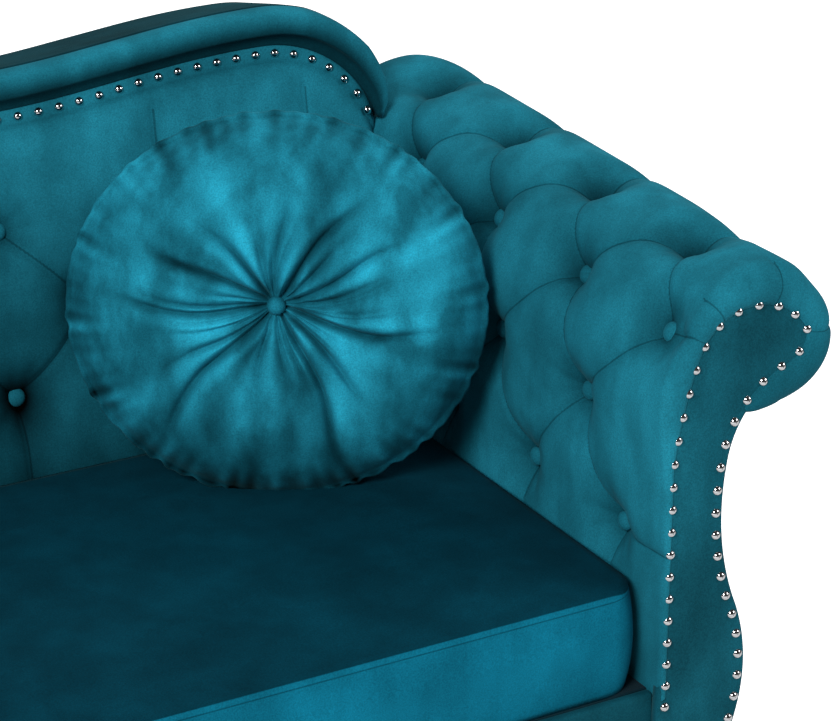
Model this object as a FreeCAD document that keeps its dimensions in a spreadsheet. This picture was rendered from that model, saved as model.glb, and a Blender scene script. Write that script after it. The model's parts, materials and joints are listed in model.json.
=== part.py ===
"""Three-seater sofa with scroll arms, a buttoned serpentine back, a bench cushion and two round pillows.

Millimetres. The origin is on the floor under the middle of the sofa. Seen from the front, +X is to the
right, -Y is towards the viewer and +Z is up.
"""
import FreeCAD, Part
import Sketcher
import os
from math import asin, cos, degrees, radians, sin, sqrt, tan

from FreeCAD import Placement, Rotation, Vector

doc = FreeCAD.newDocument("Sofa")
parts = []

# Driving dimensions: alias, value, what it is
SIZES = [
    ("overall_width", 2100, "across both arm rolls"),
    ("overall_depth", 800, "front nail heads to outside back"),
    ("arm_width", 200, "inside face of an arm to the outside of its roll"),
    ("seat_height", 440, "floor to the top seam of the cushion"),
    ("back_depth", 195.2, "inside back at seat height to the outside of the back"),
    ("cushion_thickness", 114, "boxing height of the bench cushion"),
    ("cushion_crown", 14, "rise of the cushion's middle over its seam"),
    ("cushion_corner", 32, "corner radius of the cushion"),
    ("cushion_draw", 5, "how far the cushion's sides pull in between corners"),
    ("cushion_swell", 5, "how far the boxing swells at mid height"),
    ("cushion_set_back", 24, "cushion front behind the face of the arms"),
    ("cushion_gap", 3, "side room between the cushion and each arm"),
    ("cover_thickness", 2, "velvet and lining of a loose cushion"),
    ("soft_gap", 0.3, "clearance between loose soft pieces and their seats"),
    ("leg_height", 115, "floor to the top of a leg"),
    ("leg_top_diameter", 58, "collar of a leg"),
    ("leg_foot_diameter", 34, "foot of a leg"),
    ("leg_collar", 16, "height of a leg's collar"),
    ("leg_step", 4, "step from the collar to the taper"),
    ("leg_inset", 34, "leg axis in from the end of its rail"),
    ("glide_thickness", 5, "nylon glide under a leg"),
    ("glide_diameter", 28, "nylon glide under a leg"),
    ("plate_side", 56, "square leg plate"),
    ("plate_thickness", 3, "leg plate"),
    ("bolt_diameter", 8, "hanger bolt"),
    ("bolt_length", 80, "hanger bolt, half in the leg and half in the rail"),
    ("front_rail_thickness", 30, "front seat rail"),
    ("back_rail_thickness", 50, "back seat rail"),
    ("sill_rail_thickness", 30, "rail along the foot of the outside back"),
    ("sill_rail_height", 60, "rail along the foot of the outside back"),
    ("side_rail_thickness", 60, "side seat rails under the arms"),
    ("cross_rail_width", 60, "seat cross rails"),
    ("cross_rail_height", 40, "seat cross rails"),
    ("cross_rail_spacing", 430, "between the seat cross rails"),
    ("block_side", 90, "corner blocks"),
    ("block_height", 60, "corner blocks"),
    ("deck_thickness", 7, "felt and cloth over the springs"),
    ("dust_cover_thickness", 1.5, "cloth under the frame"),
    ("dust_cover_room", 2, "room round a leg plate in the dust cover"),
    ("spring_wire", 3.8, "wire of a sinuous spring"),
    ("spring_pitch", 34, "bar to bar along a sinuous spring"),
    ("spring_bar", 30, "straight bar of a sinuous spring"),
    ("spring_spacing", 150, "between sinuous springs"),
    ("clip_side", 14, "spring clip, across and up"),
    ("back_rake", 9, "lean of the inside back in degrees"),
    ("back_height", 454, "seat to the crest of the pad, up the lean"),
    ("back_wave", 28, "crest to dip of the serpentine top"),
    ("crest_from_arm", 122, "outer crest of the back in from the face of the arm"),
    ("shoulder_radius", 152, "top of the pad where it turns down to the arm"),
    ("back_pad_thickness", 70, "buttoned inside back"),
    ("post_thickness", 36, "posts and uprights of the back, front to back"),
    ("post_width", 50, "posts and uprights of the back"),
    ("post_inset", 12, "back post in from the face of the arm"),
    ("top_rail_height", 70, "serpentine rail under the border"),
    ("tacking_rail_lift", 9, "rail of the back over the seat's top"),
    ("tacking_rail_height", 45, "rail of the back over the seat"),
    ("border_height", 46, "rolled border over the pad"),
    ("border_overhang", 18, "border in front of the pad"),
    ("border_cove", 14, "height of the cove under the border's roll"),
    ("border_turn", 72, "turn of the border down to the arm in degrees"),
    ("back_nail_turn", 66, "turn of the back's nail line down to the arm in degrees"),
    ("panel_inset", 2, "outside arm board in from the facing's edge"),
    ("panel_thickness", 6, "covered boards outside the arms and back"),
    ("arm_height", 783, "top of the arm roll at the front"),
    ("arm_rise", 38, "rise of the arm roll from front to back"),
    ("roll_radius", 77, "arm roll"),
    ("roll_turn_in", 22, "rounding of the roll's front edge"),
    ("arm_straight", 590, "height where the inside arm starts to lean out"),
    ("arm_lean", 15, "inside arm's lean out by the middle of the roll"),
    ("arm_shoulder_bow", 0.2, "fullness of the arm's shoulder, share of its run"),
    ("arm_pad_thickness", 35, "padding of the inside arm"),
    ("arm_rail_width", 75, "board under the arm roll"),
    ("arm_rail_height", 40, "board under the arm roll"),
    ("arm_post_width", 25, "rear post of the arm, across"),
    ("arm_post_depth", 44, "rear post of the arm, front to back"),
    ("front_board_thickness", 25, "scroll board at the front of the arm"),
    ("board_inset", 10, "scroll board inside the facing's edge"),
    ("facing_thickness", 12, "covered facing on the front of the arm"),
    ("facing_edge", 2, "facing in past the inside face of the arm"),
    ("facing_bottom", 122, "floor to the lower end of the facing"),
    ("facing_neck", 75, "narrowest width of the facing"),
    ("facing_neck_height", 500, "floor to the facing's neck"),
    ("facing_belly", 111, "widest width of the facing's belly"),
    ("facing_belly_height", 345, "floor to the facing's belly"),
    ("facing_foot", 77, "width of the facing at its lower end"),
    ("facing_flare", 2, "facing over its neck at the scroll"),
    ("facing_hip", 6, "fullness of the facing under its belly"),
    ("scroll_bow", 0.15, "fullness of the scroll's shoulder, share of its run"),
    ("scroll_inset", 22, "roll past the facing's scroll"),
    ("scroll_shoulder", 9, "inside of the arm past the facing's shoulder"),
    ("rail_cover_thickness", 12, "padded velvet over the front rail"),
    ("nail_diameter", 11, "nail head"),
    ("nail_height", 3.8, "nail head"),
    ("nail_inset", 9, "nail line in from an edge"),
    ("arm_nail_pitch", 25, "along the facing"),
    ("back_nail_pitch", 24, "along the back"),
    ("button_diameter", 22, "covered button"),
    ("button_height", 9, "covered button"),
    ("tuft_depth", 20, "buttons below the surface"),
    ("tuft_radius", 44, "dimple round a button"),
    ("pleat_depth", 9, "sewn pleats between buttons"),
    ("pleat_width", 13, "sewn pleats at the surface"),
    ("back_tuft_pitch", 195, "buttons along the back"),
    ("back_tuft_low", 95, "lower row of the back above the seat"),
    ("back_tuft_rise", 97, "row to row up the back"),
    ("arm_tuft_pitch", 180, "buttons along the arm"),
    ("pillow_diameter", 436, "round pillow"),
    ("pillow_thickness", 118, "round pillow at its fullest"),
    ("pillow_rim", 14, "thickness of the gathered rim"),
    ("pillow_tuft", 34, "depth of the pillow's centre tuft"),
    ("pillow_button", 21, "covered button of the pillow"),
    ("pillow_lean", 9, "lean of a pillow in degrees"),
    ("pillow_turn", 29.5, "turn of a pillow into its corner in degrees"),
    ("pillow_from_arm", 223, "pillow's middle in from the face of the arm"),
    ("pillow_from_back", 158, "pillow's middle in front of the back at seat height"),
]

# Sizes that follow from the driving ones: alias, formula, what it is
FOLLOWING = [
    ("inner_width", "=overall_width - 2 * arm_width", "between the inside faces of the arms"),
    ("seat_depth", "=overall_depth - nail_height - cushion_set_back - back_depth",
     "cushion front to inside back at seat height"),
    ("crest_spacing", "=inner_width / 2 - crest_from_arm", "between the crests of the back"),
]

sheet = doc.addObject("Spreadsheet::Sheet", "Sizes")
for row, (alias, value, meaning) in enumerate(SIZES + FOLLOWING, start=1):
    sheet.set(f"A{row}", meaning)
    sheet.set(f"B{row}", str(value))
    sheet.setAlias(f"B{row}", alias)
doc.recompute()


def size(alias):
    """A dimension, read from the sheet."""
    return float(sheet.get(alias))


def keep(label, item):
    """Gives a finished piece its name and notes it for export."""
    item.Label = label
    parts.append(item)
    return item


def place(item, corner):
    """Ties the place of an object to expressions for x, y and z."""
    for axis, expression in zip("xyz", corner):
        item.setExpression(f"Placement.Base.{axis}", expression)


def board(name, length, width, height, corner):
    """A squared timber: its size and place are expressions on the sheet."""
    box = doc.addObject("Part::Box", name)
    box.setExpression("Length", length)
    box.setExpression("Width", width)
    box.setExpression("Height", height)
    place(box, corner)
    return box


def kept_board(label, length, width, height, corner):
    """A squared timber that is a piece by itself."""
    return keep(label, board(label, length, width, height, corner))


def rod(name, diameter, height, base):
    """An upright round rod tied to the sheet."""
    cylinder = doc.addObject("Part::Cylinder", name)
    cylinder.setExpression("Radius", f"({diameter}) / 2")
    cylinder.setExpression("Height", height)
    place(cylinder, base)
    return cylinder


def group(name, items):
    """Separate like solids under one name."""
    compound = doc.addObject("Part::Compound", name)
    compound.Links = items
    return compound


def formed(label, shape):
    """A piece whose shape is worked out from the sheet by code."""
    item = doc.addObject("Part::Feature", label)
    item.Shape = shape
    return keep(label, item)


def line(start, end):
    return Part.LineSegment(start, end).toShape()


def arc(start, middle, end):
    return Part.Arc(start, middle, end).toShape()


def mirrored(shape):
    """The same shape on the other side of the sofa's middle."""
    return shape.mirror(Vector(0, 0, 0), Vector(1, 0, 0))


def formed_pair(label, shape):
    """A right-hand piece and its mirror image."""
    formed(f"{label}_right", shape)
    formed(f"{label}_left", mirrored(shape))


# Heights and places that several pieces share
arm_inner = size("inner_width") / 2
face_y = -size("overall_depth") / 2 + size("nail_height")
facing_back_y = face_y + size("facing_thickness")
board_back_y = facing_back_y + size("front_board_thickness")
panel_y = size("overall_depth") / 2 - size("panel_thickness")
frame_bottom = size("leg_height") + size("plate_thickness")
deck_top = size("seat_height") - size("cushion_thickness") - size("soft_gap")
deck_bottom = deck_top - size("deck_thickness")
cushion_front = face_y + size("cushion_set_back")
back_y = cushion_front + size("seat_depth")
front_rail_y = facing_back_y + size("rail_cover_thickness")
back_rail_y = (back_y - (size("seat_height") - deck_bottom) * tan(radians(size("back_rake")))
               + size("back_pad_thickness") / cos(radians(size("back_rake"))))
LEFT_END = "-Sizes.inner_width / 2"
FRAME_BOTTOM = "Sizes.leg_height + Sizes.plate_thickness"
FACING_BACK = "-Sizes.overall_depth / 2 + Sizes.nail_height + Sizes.facing_thickness"
FRONT_RAIL = f"{FACING_BACK} + Sizes.rail_cover_thickness"
FRONT_RAIL_BACK = f"{FRONT_RAIL} + Sizes.front_rail_thickness"
BOARD_BACK = f"{FACING_BACK} + Sizes.front_board_thickness"
PANEL = "Sizes.overall_depth / 2 - Sizes.panel_thickness"
BACK = "-Sizes.overall_depth / 2 + Sizes.nail_height + Sizes.cushion_set_back + Sizes.seat_depth"
DECK_BOTTOM = "Sizes.seat_height - Sizes.cushion_thickness - Sizes.soft_gap - Sizes.deck_thickness"
RAIL_HEIGHT = f"{DECK_BOTTOM} - ({FRAME_BOTTOM})"
RAKE_AT_RAIL = f"(Sizes.seat_height - ({DECK_BOTTOM})) * tan(Sizes.back_rake)"
BACK_RAIL = f"{BACK} - {RAKE_AT_RAIL} + Sizes.back_pad_thickness / cos(Sizes.back_rake)"

# Legs: glide, turned leg, plate and hanger bolt under each support
LEG_FRONT = f"{BOARD_BACK} + Sizes.leg_inset"
LEG_REAR = f"{PANEL} - Sizes.leg_inset"
LEG_SIDE = "(Sizes.inner_width + Sizes.side_rail_thickness) / 2"
LEGS = {
    "front_left": (f"-{LEG_SIDE}", LEG_FRONT),
    "front_right": (LEG_SIDE, LEG_FRONT),
    "rear_left": (f"-{LEG_SIDE}", LEG_REAR),
    "rear_right": (LEG_SIDE, LEG_REAR),
    "centre_front": ("0", f"{FRONT_RAIL_BACK} + Sizes.leg_inset"),
    "centre_rear": ("0", f"{BACK_RAIL} - Sizes.leg_inset"),
}


def turned_leg(name, corner):
    """A tapered round leg with a collar and a bore for its bolt, turned about its axis."""
    body = doc.addObject("PartDesign::Body", name)
    plane = next(item for item in body.Origin.OriginFeatures if item.Role == "XZ_Plane")
    sketch = body.newObject("Sketcher::SketchObject", f"{name}_profile")
    sketch.AttachmentSupport = (plane, "")
    sketch.MapMode = "FlatFace"
    bore = "Sizes.bolt_diameter / 2"
    bore_end = "Sizes.leg_height - Sizes.bolt_length / 2"
    taper_top = "Sizes.leg_height - Sizes.leg_collar"
    collar = "Sizes.leg_top_diameter / 2"
    profile = [
        ("0", "Sizes.glide_thickness"),
        ("Sizes.leg_foot_diameter / 2", "Sizes.glide_thickness"),
        (f"{collar} - Sizes.leg_step", taper_top),
        (collar, taper_top),
        (collar, "Sizes.leg_height"),
        (bore, "Sizes.leg_height"),
        (bore, bore_end),
        ("0", bore_end),
    ]
    trial = [(0, 5), (17, 5), (25, 99), (29, 99), (29, 115), (4, 115), (4, 75), (0, 75)]
    corners = [Vector(x, z, 0) for x, z in trial]
    for index, start in enumerate(corners):
        sketch.addGeometry(Part.LineSegment(start, corners[(index + 1) % len(corners)]))
    for index in range(len(corners)):
        sketch.addConstraint(Sketcher.Constraint("Coincident", index, 2, (index + 1) % len(corners), 1))
    for index, (x, z) in enumerate(profile):
        if x == "0":
            sketch.addConstraint(Sketcher.Constraint("PointOnObject", index, 1, -2))
        else:
            across = sketch.addConstraint(Sketcher.Constraint("DistanceX", -1, 1, index, 1, corners[index].x))
            sketch.setExpression(f"Constraints[{across}]", x)
        up = sketch.addConstraint(Sketcher.Constraint("DistanceY", -1, 1, index, 1, corners[index].y))
        sketch.setExpression(f"Constraints[{up}]", z)
    turning = body.newObject("PartDesign::Revolution", f"{name}_turning")
    turning.Profile = sketch
    turning.ReferenceAxis = (sketch, ["V_Axis"])
    turning.Angle = 360
    place(body, corner)
    return body


glides, plates, bolts = [], [], []
for name, (x, y) in LEGS.items():
    keep(f"leg_{name}", turned_leg(f"leg_{name}", (x, y, "0")))
    glides.append(rod(f"glide_{name}", "Sizes.glide_diameter", "Sizes.glide_thickness", (x, y, "0")))
    bolts.append(rod(f"bolt_{name}", "Sizes.bolt_diameter", "Sizes.bolt_length",
                     (x, y, "Sizes.leg_height - Sizes.bolt_length / 2")))
    blank = board(f"plate_blank_{name}", "Sizes.plate_side", "Sizes.plate_side", "Sizes.plate_thickness",
                  (f"{x} - Sizes.plate_side / 2", f"{y} - Sizes.plate_side / 2", "Sizes.leg_height"))
    plate = doc.addObject("Part::Cut", f"plate_{name}")
    plate.Base = blank
    plate.Tool = bolts[-1]
    plates.append(plate)
keep("leg_glides", group("leg_glides", glides))
keep("leg_plates", group("leg_plates", plates))
leg_bolts = keep("leg_bolts", group("leg_bolts", bolts))


def bored(label, timber):
    """A timber with the leg bolts' holes through it."""
    cut = doc.addObject("Part::Cut", label)
    cut.Base = timber
    cut.Tool = leg_bolts
    return keep(label, cut)


# Seat rails, cross rails and corner blocks
kept_board("front_seat_rail", "Sizes.inner_width", "Sizes.front_rail_thickness", RAIL_HEIGHT,
           (LEFT_END, FRONT_RAIL, FRAME_BOTTOM))
kept_board("back_seat_rail", "Sizes.inner_width", "Sizes.back_rail_thickness", RAIL_HEIGHT,
           (LEFT_END, BACK_RAIL, FRAME_BOTTOM))
kept_board("back_sill_rail", "Sizes.inner_width", "Sizes.sill_rail_thickness", "Sizes.sill_rail_height",
           (LEFT_END, f"{PANEL} - Sizes.sill_rail_thickness", FRAME_BOTTOM))
side_length = f"{PANEL} - ({BOARD_BACK})"
for side, low_x in (("right", "Sizes.inner_width / 2"),
                    ("left", "-Sizes.inner_width / 2 - Sizes.side_rail_thickness")):
    timber = board(f"side_timber_{side}", "Sizes.side_rail_thickness", side_length, RAIL_HEIGHT,
                   (low_x, BOARD_BACK, FRAME_BOTTOM))
    bored(f"side_seat_rail_{side}", timber)
cross_rails = []
for step in (-1, 0, 1):
    cross_rails.append(board(
        f"cross_rail_{step + 2}", "Sizes.cross_rail_width", f"{BACK_RAIL} - ({FRONT_RAIL_BACK})",
        "Sizes.cross_rail_height",
        (f"{step} * Sizes.cross_rail_spacing - Sizes.cross_rail_width / 2", FRONT_RAIL_BACK, FRAME_BOTTOM)))
bored("seat_cross_rails", group("cross_timbers", cross_rails))


def corner_block(x_side, y_corner, y_side):
    """A three-cornered block glued into a corner of the seat frame."""
    reach = size("block_side")
    corner = Vector(x_side * arm_inner, y_corner, frame_bottom)
    ends = [corner, corner + Vector(-x_side * reach, 0, 0), corner + Vector(0, y_side * reach, 0)]
    return Part.Face(Part.makePolygon(ends + [corner])).extrude(Vector(0, 0, size("block_height")))


formed("corner_blocks", Part.makeCompound([
    corner_block(x_side, y_corner, y_side)
    for x_side in (1, -1)
    for y_corner, y_side in ((front_rail_y + size("front_rail_thickness"), 1), (back_rail_y, -1))]))

# Seat suspension: sinuous springs in clips, a felt deck over them and a dust cover under the frame
spring_low_y = front_rail_y + size("front_rail_thickness") + size("clip_side") / 2
spring_high_y = back_rail_y - size("clip_side") / 2
spring_z = deck_bottom - size("clip_side") / 2


def sinuous_spring(x):
    """One spring: straight bars joined by half turns, each bend made of two quarter arcs."""
    bars = int((spring_high_y - spring_low_y) / size("spring_pitch"))
    pitch = (spring_high_y - spring_low_y) / bars
    half, bend = size("spring_bar") / 2, pitch / 2
    edges = []
    for index in range(bars + 1):
        y = spring_low_y + index * pitch
        way = 1 if index % 2 == 0 else -1
        start, end = Vector(x - way * half, y, spring_z), Vector(x + way * half, y, spring_z)
        edges.append(line(start, end))
        if index < bars:
            eighth = bend * sqrt(0.5)
            middle = Vector(x + way * (half + bend), y + bend, spring_z)
            edges.append(arc(end, end + Vector(way * eighth, bend - eighth, 0), middle))
            edges.append(arc(middle, end + Vector(way * eighth, bend + eighth, 0), end + Vector(0, pitch, 0)))
    section = Part.Wire(Part.makeCircle(size("spring_wire") / 2, edges[0].Vertexes[0].Point, Vector(1, 0, 0)))
    return Part.Wire(edges).makePipeShell([section], True, False)


def spring_clip(x, y):
    """A block on a seat rail with a hole for the end bar of a spring."""
    side = size("clip_side")
    block = Part.makeBox(side, side, side, Vector(x - side / 2, y - side / 2, spring_z - side / 2))
    hole = Part.makeCylinder(size("spring_wire") / 2 + size("soft_gap") / 2, 2 * side,
                             Vector(x - side, y, spring_z), Vector(1, 0, 0))
    return block.cut(hole)


spring_count = int((size("inner_width") - size("spring_spacing")) / size("spring_spacing")) + 1
spring_xs = [(index - (spring_count - 1) / 2) * size("spring_spacing") for index in range(spring_count)]
formed("sinuous_springs", Part.makeCompound([sinuous_spring(x) for x in spring_xs]))
formed("spring_clips", Part.makeCompound([
    spring_clip(x, y) for x in spring_xs for y in (spring_low_y, spring_high_y)]))
kept_board("deck_pad", "Sizes.inner_width", f"{BACK_RAIL} - ({FRONT_RAIL})", "Sizes.deck_thickness",
           (LEFT_END, FRONT_RAIL, DECK_BOTTOM))
cover_sheet = board("dust_sheet", "Sizes.inner_width",
                    f"{PANEL} - ({FRONT_RAIL})", "Sizes.dust_cover_thickness",
                    (LEFT_END, FRONT_RAIL, f"{FRAME_BOTTOM} - Sizes.dust_cover_thickness"))
room = [board(f"plate_room_{name}", "Sizes.plate_side + 2 * Sizes.dust_cover_room",
              "Sizes.plate_side + 2 * Sizes.dust_cover_room", "2 * Sizes.plate_thickness",
              (f"{x} - Sizes.plate_side / 2 - Sizes.dust_cover_room",
               f"{y} - Sizes.plate_side / 2 - Sizes.dust_cover_room",
               "Sizes.leg_height - Sizes.plate_thickness / 2"))
        for name, (x, y) in LEGS.items()]
dust_cover = doc.addObject("Part::Cut", "dust_cover")
dust_cover.Base = cover_sheet
dust_cover.Tool = group("plate_rooms", room)
keep("dust_cover", dust_cover)

# Arms, worked out for the right-hand side and mirrored
roll_x = size("overall_width") / 2 - size("roll_radius")
roll_z = size("arm_height") - size("roll_radius")
lean_x = arm_inner + size("arm_lean")


def arm_lift(y):
    """How far the roll has risen at a place along the arm."""
    return size("arm_rise") * (y - facing_back_y) / (panel_y - facing_back_y)


def bowed(start, end, bow):
    """A line, or an arc whose middle stands off the chord to the left of its run seen from the front."""
    if abs(bow) < 1e-6:
        return line(start, end)
    run = (end - start).normalize()
    return arc(start, (start + end) / 2 + Vector(-run.z, 0, run.x) * bow, end)


def arm_section(y, turn_in):
    """The arm's outline across the sofa at y: inside face, roll and flat underside."""
    lift = arm_lift(y)
    radius = size("roll_radius") - turn_in
    crown = size("arm_straight") + lift
    middle = roll_z + lift
    eighth = radius * sqrt(0.5)
    inside = arm_inner + size("arm_pad_thickness")
    rest = Vector(arm_inner, y, deck_bottom)
    straight = Vector(arm_inner, y, crown)
    shoulder = Vector(lean_x, y, middle)
    top = Vector(roll_x, y, middle + radius)
    outer = Vector(roll_x + radius, y, middle)
    under = Vector(roll_x, y, middle - radius)
    tuck = Vector(inside, y, middle - radius)
    foot = Vector(inside, y, deck_bottom)
    return Part.Wire([
        line(rest, straight),
        bowed(straight, shoulder, size("arm_lean") / 4),
        bowed(shoulder, top, (roll_x - lean_x) * size("arm_shoulder_bow")),
        arc(top, Vector(roll_x + eighth, y, middle + eighth), outer),
        arc(outer, Vector(roll_x + eighth, y, middle - eighth), under),
        line(under, tuck),
        line(tuck, foot),
        line(foot, rest),
    ])


turn = size("roll_turn_in")
arm_stations = [(facing_back_y + turn * (1 - cos(radians(angle))), turn * (1 - sin(radians(angle))))
                for angle in (0, 45, 90)]
arm_stations.append((panel_y, 0))
arm_form = Part.makeLoft([arm_section(y, turn_in) for y, turn_in in arm_stations], True, True)


def waist_outline():
    """The outer edge of the facing below its scroll: corners with the bow of the run after each."""
    edge = arm_inner - size("facing_edge")
    neck, belly, foot = (edge + size(f"facing_{name}") for name in ("neck", "belly", "foot"))
    neck_z, belly_z = size("facing_neck_height"), size("facing_belly_height")
    half = (neck_z - belly_z) / 2
    flare, waist = neck + size("facing_flare"), (neck + belly) / 2
    hip = (belly + foot) / 2 + size("facing_hip")
    return [
        (Vector(flare, facing_back_y, neck_z + half), neck - (flare + waist) / 2),
        (Vector(waist, facing_back_y, neck_z - half), belly - (waist + hip) / 2),
        (Vector(hip, facing_back_y, belly_z - half), 0),
        (Vector(foot, facing_back_y, size("facing_bottom")), 0),
    ]


def facing_outline():
    """The scroll-topped, waisted outline of the arm's front, at the facing's back."""
    edge = arm_inner - size("facing_edge")
    scroll = size("roll_radius") - size("scroll_inset")
    shoulder = lean_x + size("scroll_shoulder")
    y = facing_back_y
    points = [
        (Vector(edge, y, size("facing_bottom")), 0),
        (Vector(edge, y, size("arm_straight")), size("arm_lean") / 4),
        (Vector(shoulder, y, roll_z), (roll_x - shoulder) * size("scroll_bow")),
        (Vector(roll_x - scroll / 2, y, roll_z + scroll), scroll / 4),
        (Vector(roll_x + scroll, y, roll_z + scroll / 6), scroll / 5),
        (Vector(roll_x + scroll / 3, y, roll_z - scroll * 2 / 3), -scroll * 2 / 7),
    ] + waist_outline()
    ends = [end for end, bow in points[1:] + points[:1]]
    return Part.Wire([bowed(start, end, bow) for (start, bow), end in zip(points, ends)])


FRONT = Vector(0, -1, 0)
facing_wire = facing_outline()
waist_top, waist_bow = waist_outline()[0]
waist_points = [(Vector(waist_top.x, facing_back_y, roll_z), 0)] + waist_outline()
facing = Part.Face(facing_wire).extrude(FRONT * size("facing_thickness"))
board_wire = facing_wire.makeOffset2D(-size("board_inset"))
front_board = Part.Face(board_wire).extrude(-FRONT * size("front_board_thickness"))
under_z = roll_z - size("roll_radius")
rail_start = Vector(roll_x - size("arm_rail_width"), board_back_y, under_z + arm_lift(board_back_y))
rail_run = Vector(0, panel_y - board_back_y, arm_lift(panel_y) - arm_lift(board_back_y))
rail_across, rail_up = Vector(size("arm_rail_width"), 0, 0), Vector(0, 0, size("arm_rail_height"))
rail_corners = [Vector(0, 0, 0), rail_across, rail_across + rail_up, rail_up, Vector(0, 0, 0)]
rail_face = Part.Face(Part.makePolygon([rail_start + corner for corner in rail_corners]))
arm_rail = rail_face.extrude(rail_run)
rear_post_x = arm_inner + size("arm_pad_thickness")
rear_post = Part.makeBox(size("arm_post_width"), size("arm_post_depth"), roll_z - deck_bottom,
                         Vector(rear_post_x, panel_y - size("arm_post_depth"), deck_bottom)).cut(arm_form)


def waist_run(shift):
    """The facing's waist, carried straight up under the roll and moved in by a shift."""
    rise = [Vector(corner.x - shift, facing_back_y, corner.z) for corner, bow in waist_points]
    return [bowed(rise[index], rise[index + 1], waist_points[index][1]) for index in range(len(rise) - 1)]


outer_run = waist_run(size("panel_inset"))
inner_run = waist_run(size("panel_inset") + size("panel_thickness"))
panel_ends = [line(outer_run[end].Vertexes[end].Point, inner_run[end].Vertexes[end].Point)
              for end in (0, -1)]
panel_wire = Part.Wire(Part.sortEdges(outer_run + inner_run + panel_ends)[0])
outer_panel = Part.Face(panel_wire).extrude(-FRONT * (panel_y - facing_back_y)).cut([arm_form, front_board])


def cap(point, direction, diameter, height):
    """A domed head standing on a point: a slice of a ball."""
    ball = (diameter ** 2 / 4 + height ** 2) / (2 * height)
    low = degrees(asin((ball - height) / ball))
    return Part.makeSphere(ball, point + direction * (height - ball), direction, low, 90, 360)


def pleat(start, end, outward):
    """A sewn pleat to cut out between two places on a padded surface: a straight wedge."""
    depth, clear = size("pleat_depth"), size("tuft_radius")
    side = (end - start).cross(outward).normalize() * (size("pleat_width") / 2 * (depth + clear) / depth)
    root = start - outward * depth
    lip = start + outward * clear
    return Part.Face(Part.makePolygon([root, lip + side, lip - side, root])).extrude(end - start)


def dimple(point, outward):
    """The hollow that a button pulls into a padded surface."""
    floor = size("button_diameter") / 2 + size("soft_gap")
    depth = size("tuft_depth")
    slope = (size("tuft_radius") - floor) / depth
    reach = depth + 1
    return Part.makeCone(floor, floor + slope * reach, reach, point - outward * depth, outward)


def tufted(form, buttons, pleats):
    """A padded form with its dimples and pleats sewn in, and the buttons that stand in the dimples."""
    hollows = [dimple(point, outward) for point, outward in buttons]
    head_sizes = (size("button_diameter"), size("button_height"))
    heads = [cap(point - outward * size("tuft_depth"), outward, *head_sizes) for point, outward in buttons]
    return form.cut(hollows + pleats), Part.makeCompound(heads)


# Button rows of an arm: stretch of its outline, share along that stretch, first button from the front, count
ARM_ROWS = [
    (0, 0.59, 98, 3),
    (1, 0.07, 174, 3),
    (2, 0.135, 38, 4),
    (2, 0.89, 111, 4),
]


def arm_point(y, stretch, share):
    """A place on the arm's surface and the way out of it."""
    edge = arm_section(y, 0).Edges[stretch]
    where = edge.FirstParameter + share * (edge.LastParameter - edge.FirstParameter)
    run = edge.tangentAt(where)
    return edge.valueAt(where), Vector(-run.z, 0, run.x)


arm_rows = [[arm_point(facing_back_y + first + index * size("arm_tuft_pitch"), stretch, share)
             for index in range(count)] for stretch, share, first, count in ARM_ROWS]
arm_pleats = []
for lower, upper in zip(arm_rows, arm_rows[1:]):
    for low_point, low_out in lower:
        for high_point, high_out in upper:
            if abs(high_point.y - low_point.y) < 0.75 * size("arm_tuft_pitch"):
                arm_pleats.append(pleat(low_point, high_point, (low_out + high_out).normalize()))
for point, outward in arm_rows[0]:
    arm_pleats.append(pleat(point, Vector(point.x, point.y, size("seat_height")), outward))
for point, outward in arm_rows[-1]:
    for share in (0.3, 0.65, 1):
        over, over_out = arm_point(point.y, 3, share)
        arm_pleats.append(pleat(point, over, (outward + over_out).normalize()))
        point, outward = over, over_out
arm_pad, arm_buttons = tufted(arm_form.cut([front_board, arm_rail]), sum(arm_rows, []), arm_pleats)

nail_wire = facing_wire.makeOffset2D(-size("nail_inset"))
nail_count = int(nail_wire.Length / size("arm_nail_pitch"))
nail_low = size("facing_bottom") + 1.5 * size("nail_inset")
arm_nails = Part.makeCompound([
    cap(Vector(point.x, face_y, point.z), FRONT, size("nail_diameter"), size("nail_height"))
    for point in nail_wire.discretize(Number=nail_count)[:-1] if point.z > nail_low])
for label, shape in (("arm_facing", facing), ("arm_front_board", front_board), ("arm_top_rail", arm_rail),
                     ("arm_outer_panel", outer_panel), ("arm_pad", arm_pad), ("arm_buttons", arm_buttons),
                     ("arm_nails", arm_nails)):
    formed_pair(label, shape)
arm_forms = [arm_form, mirrored(arm_form)]

# Back, worked out upright with its front at y 0 and the seat at z 0, then leant back
back_pose = Placement(Vector(0, back_y, size("seat_height")), Rotation(Vector(1, 0, 0), -size("back_rake")))
rake = radians(size("back_rake"))
behind_pad = size("back_pad_thickness")
behind_posts = behind_pad + size("post_thickness")
rail_low = size("back_height") - size("back_wave") - size("top_rail_height")
far = size("overall_width") + size("overall_depth")
UNDER_RAILS = Part.makeBox(2 * far, 2 * far, far, Vector(-far, -far, deck_bottom - far))
UNDER_DECK = Part.makeBox(2 * far, 2 * far, far, Vector(-far, -far, deck_top - far))
BEHIND = Part.makeBox(2 * far, far, far, Vector(-far, size("overall_depth") / 2, 0))


def leant(shape, *waste):
    """A piece of the back, leant into place and trimmed by what it meets."""
    moved = shape.copy()
    moved.Placement = back_pose.multiply(shape.Placement)
    return moved.cut(list(waste)) if waste else moved


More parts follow.
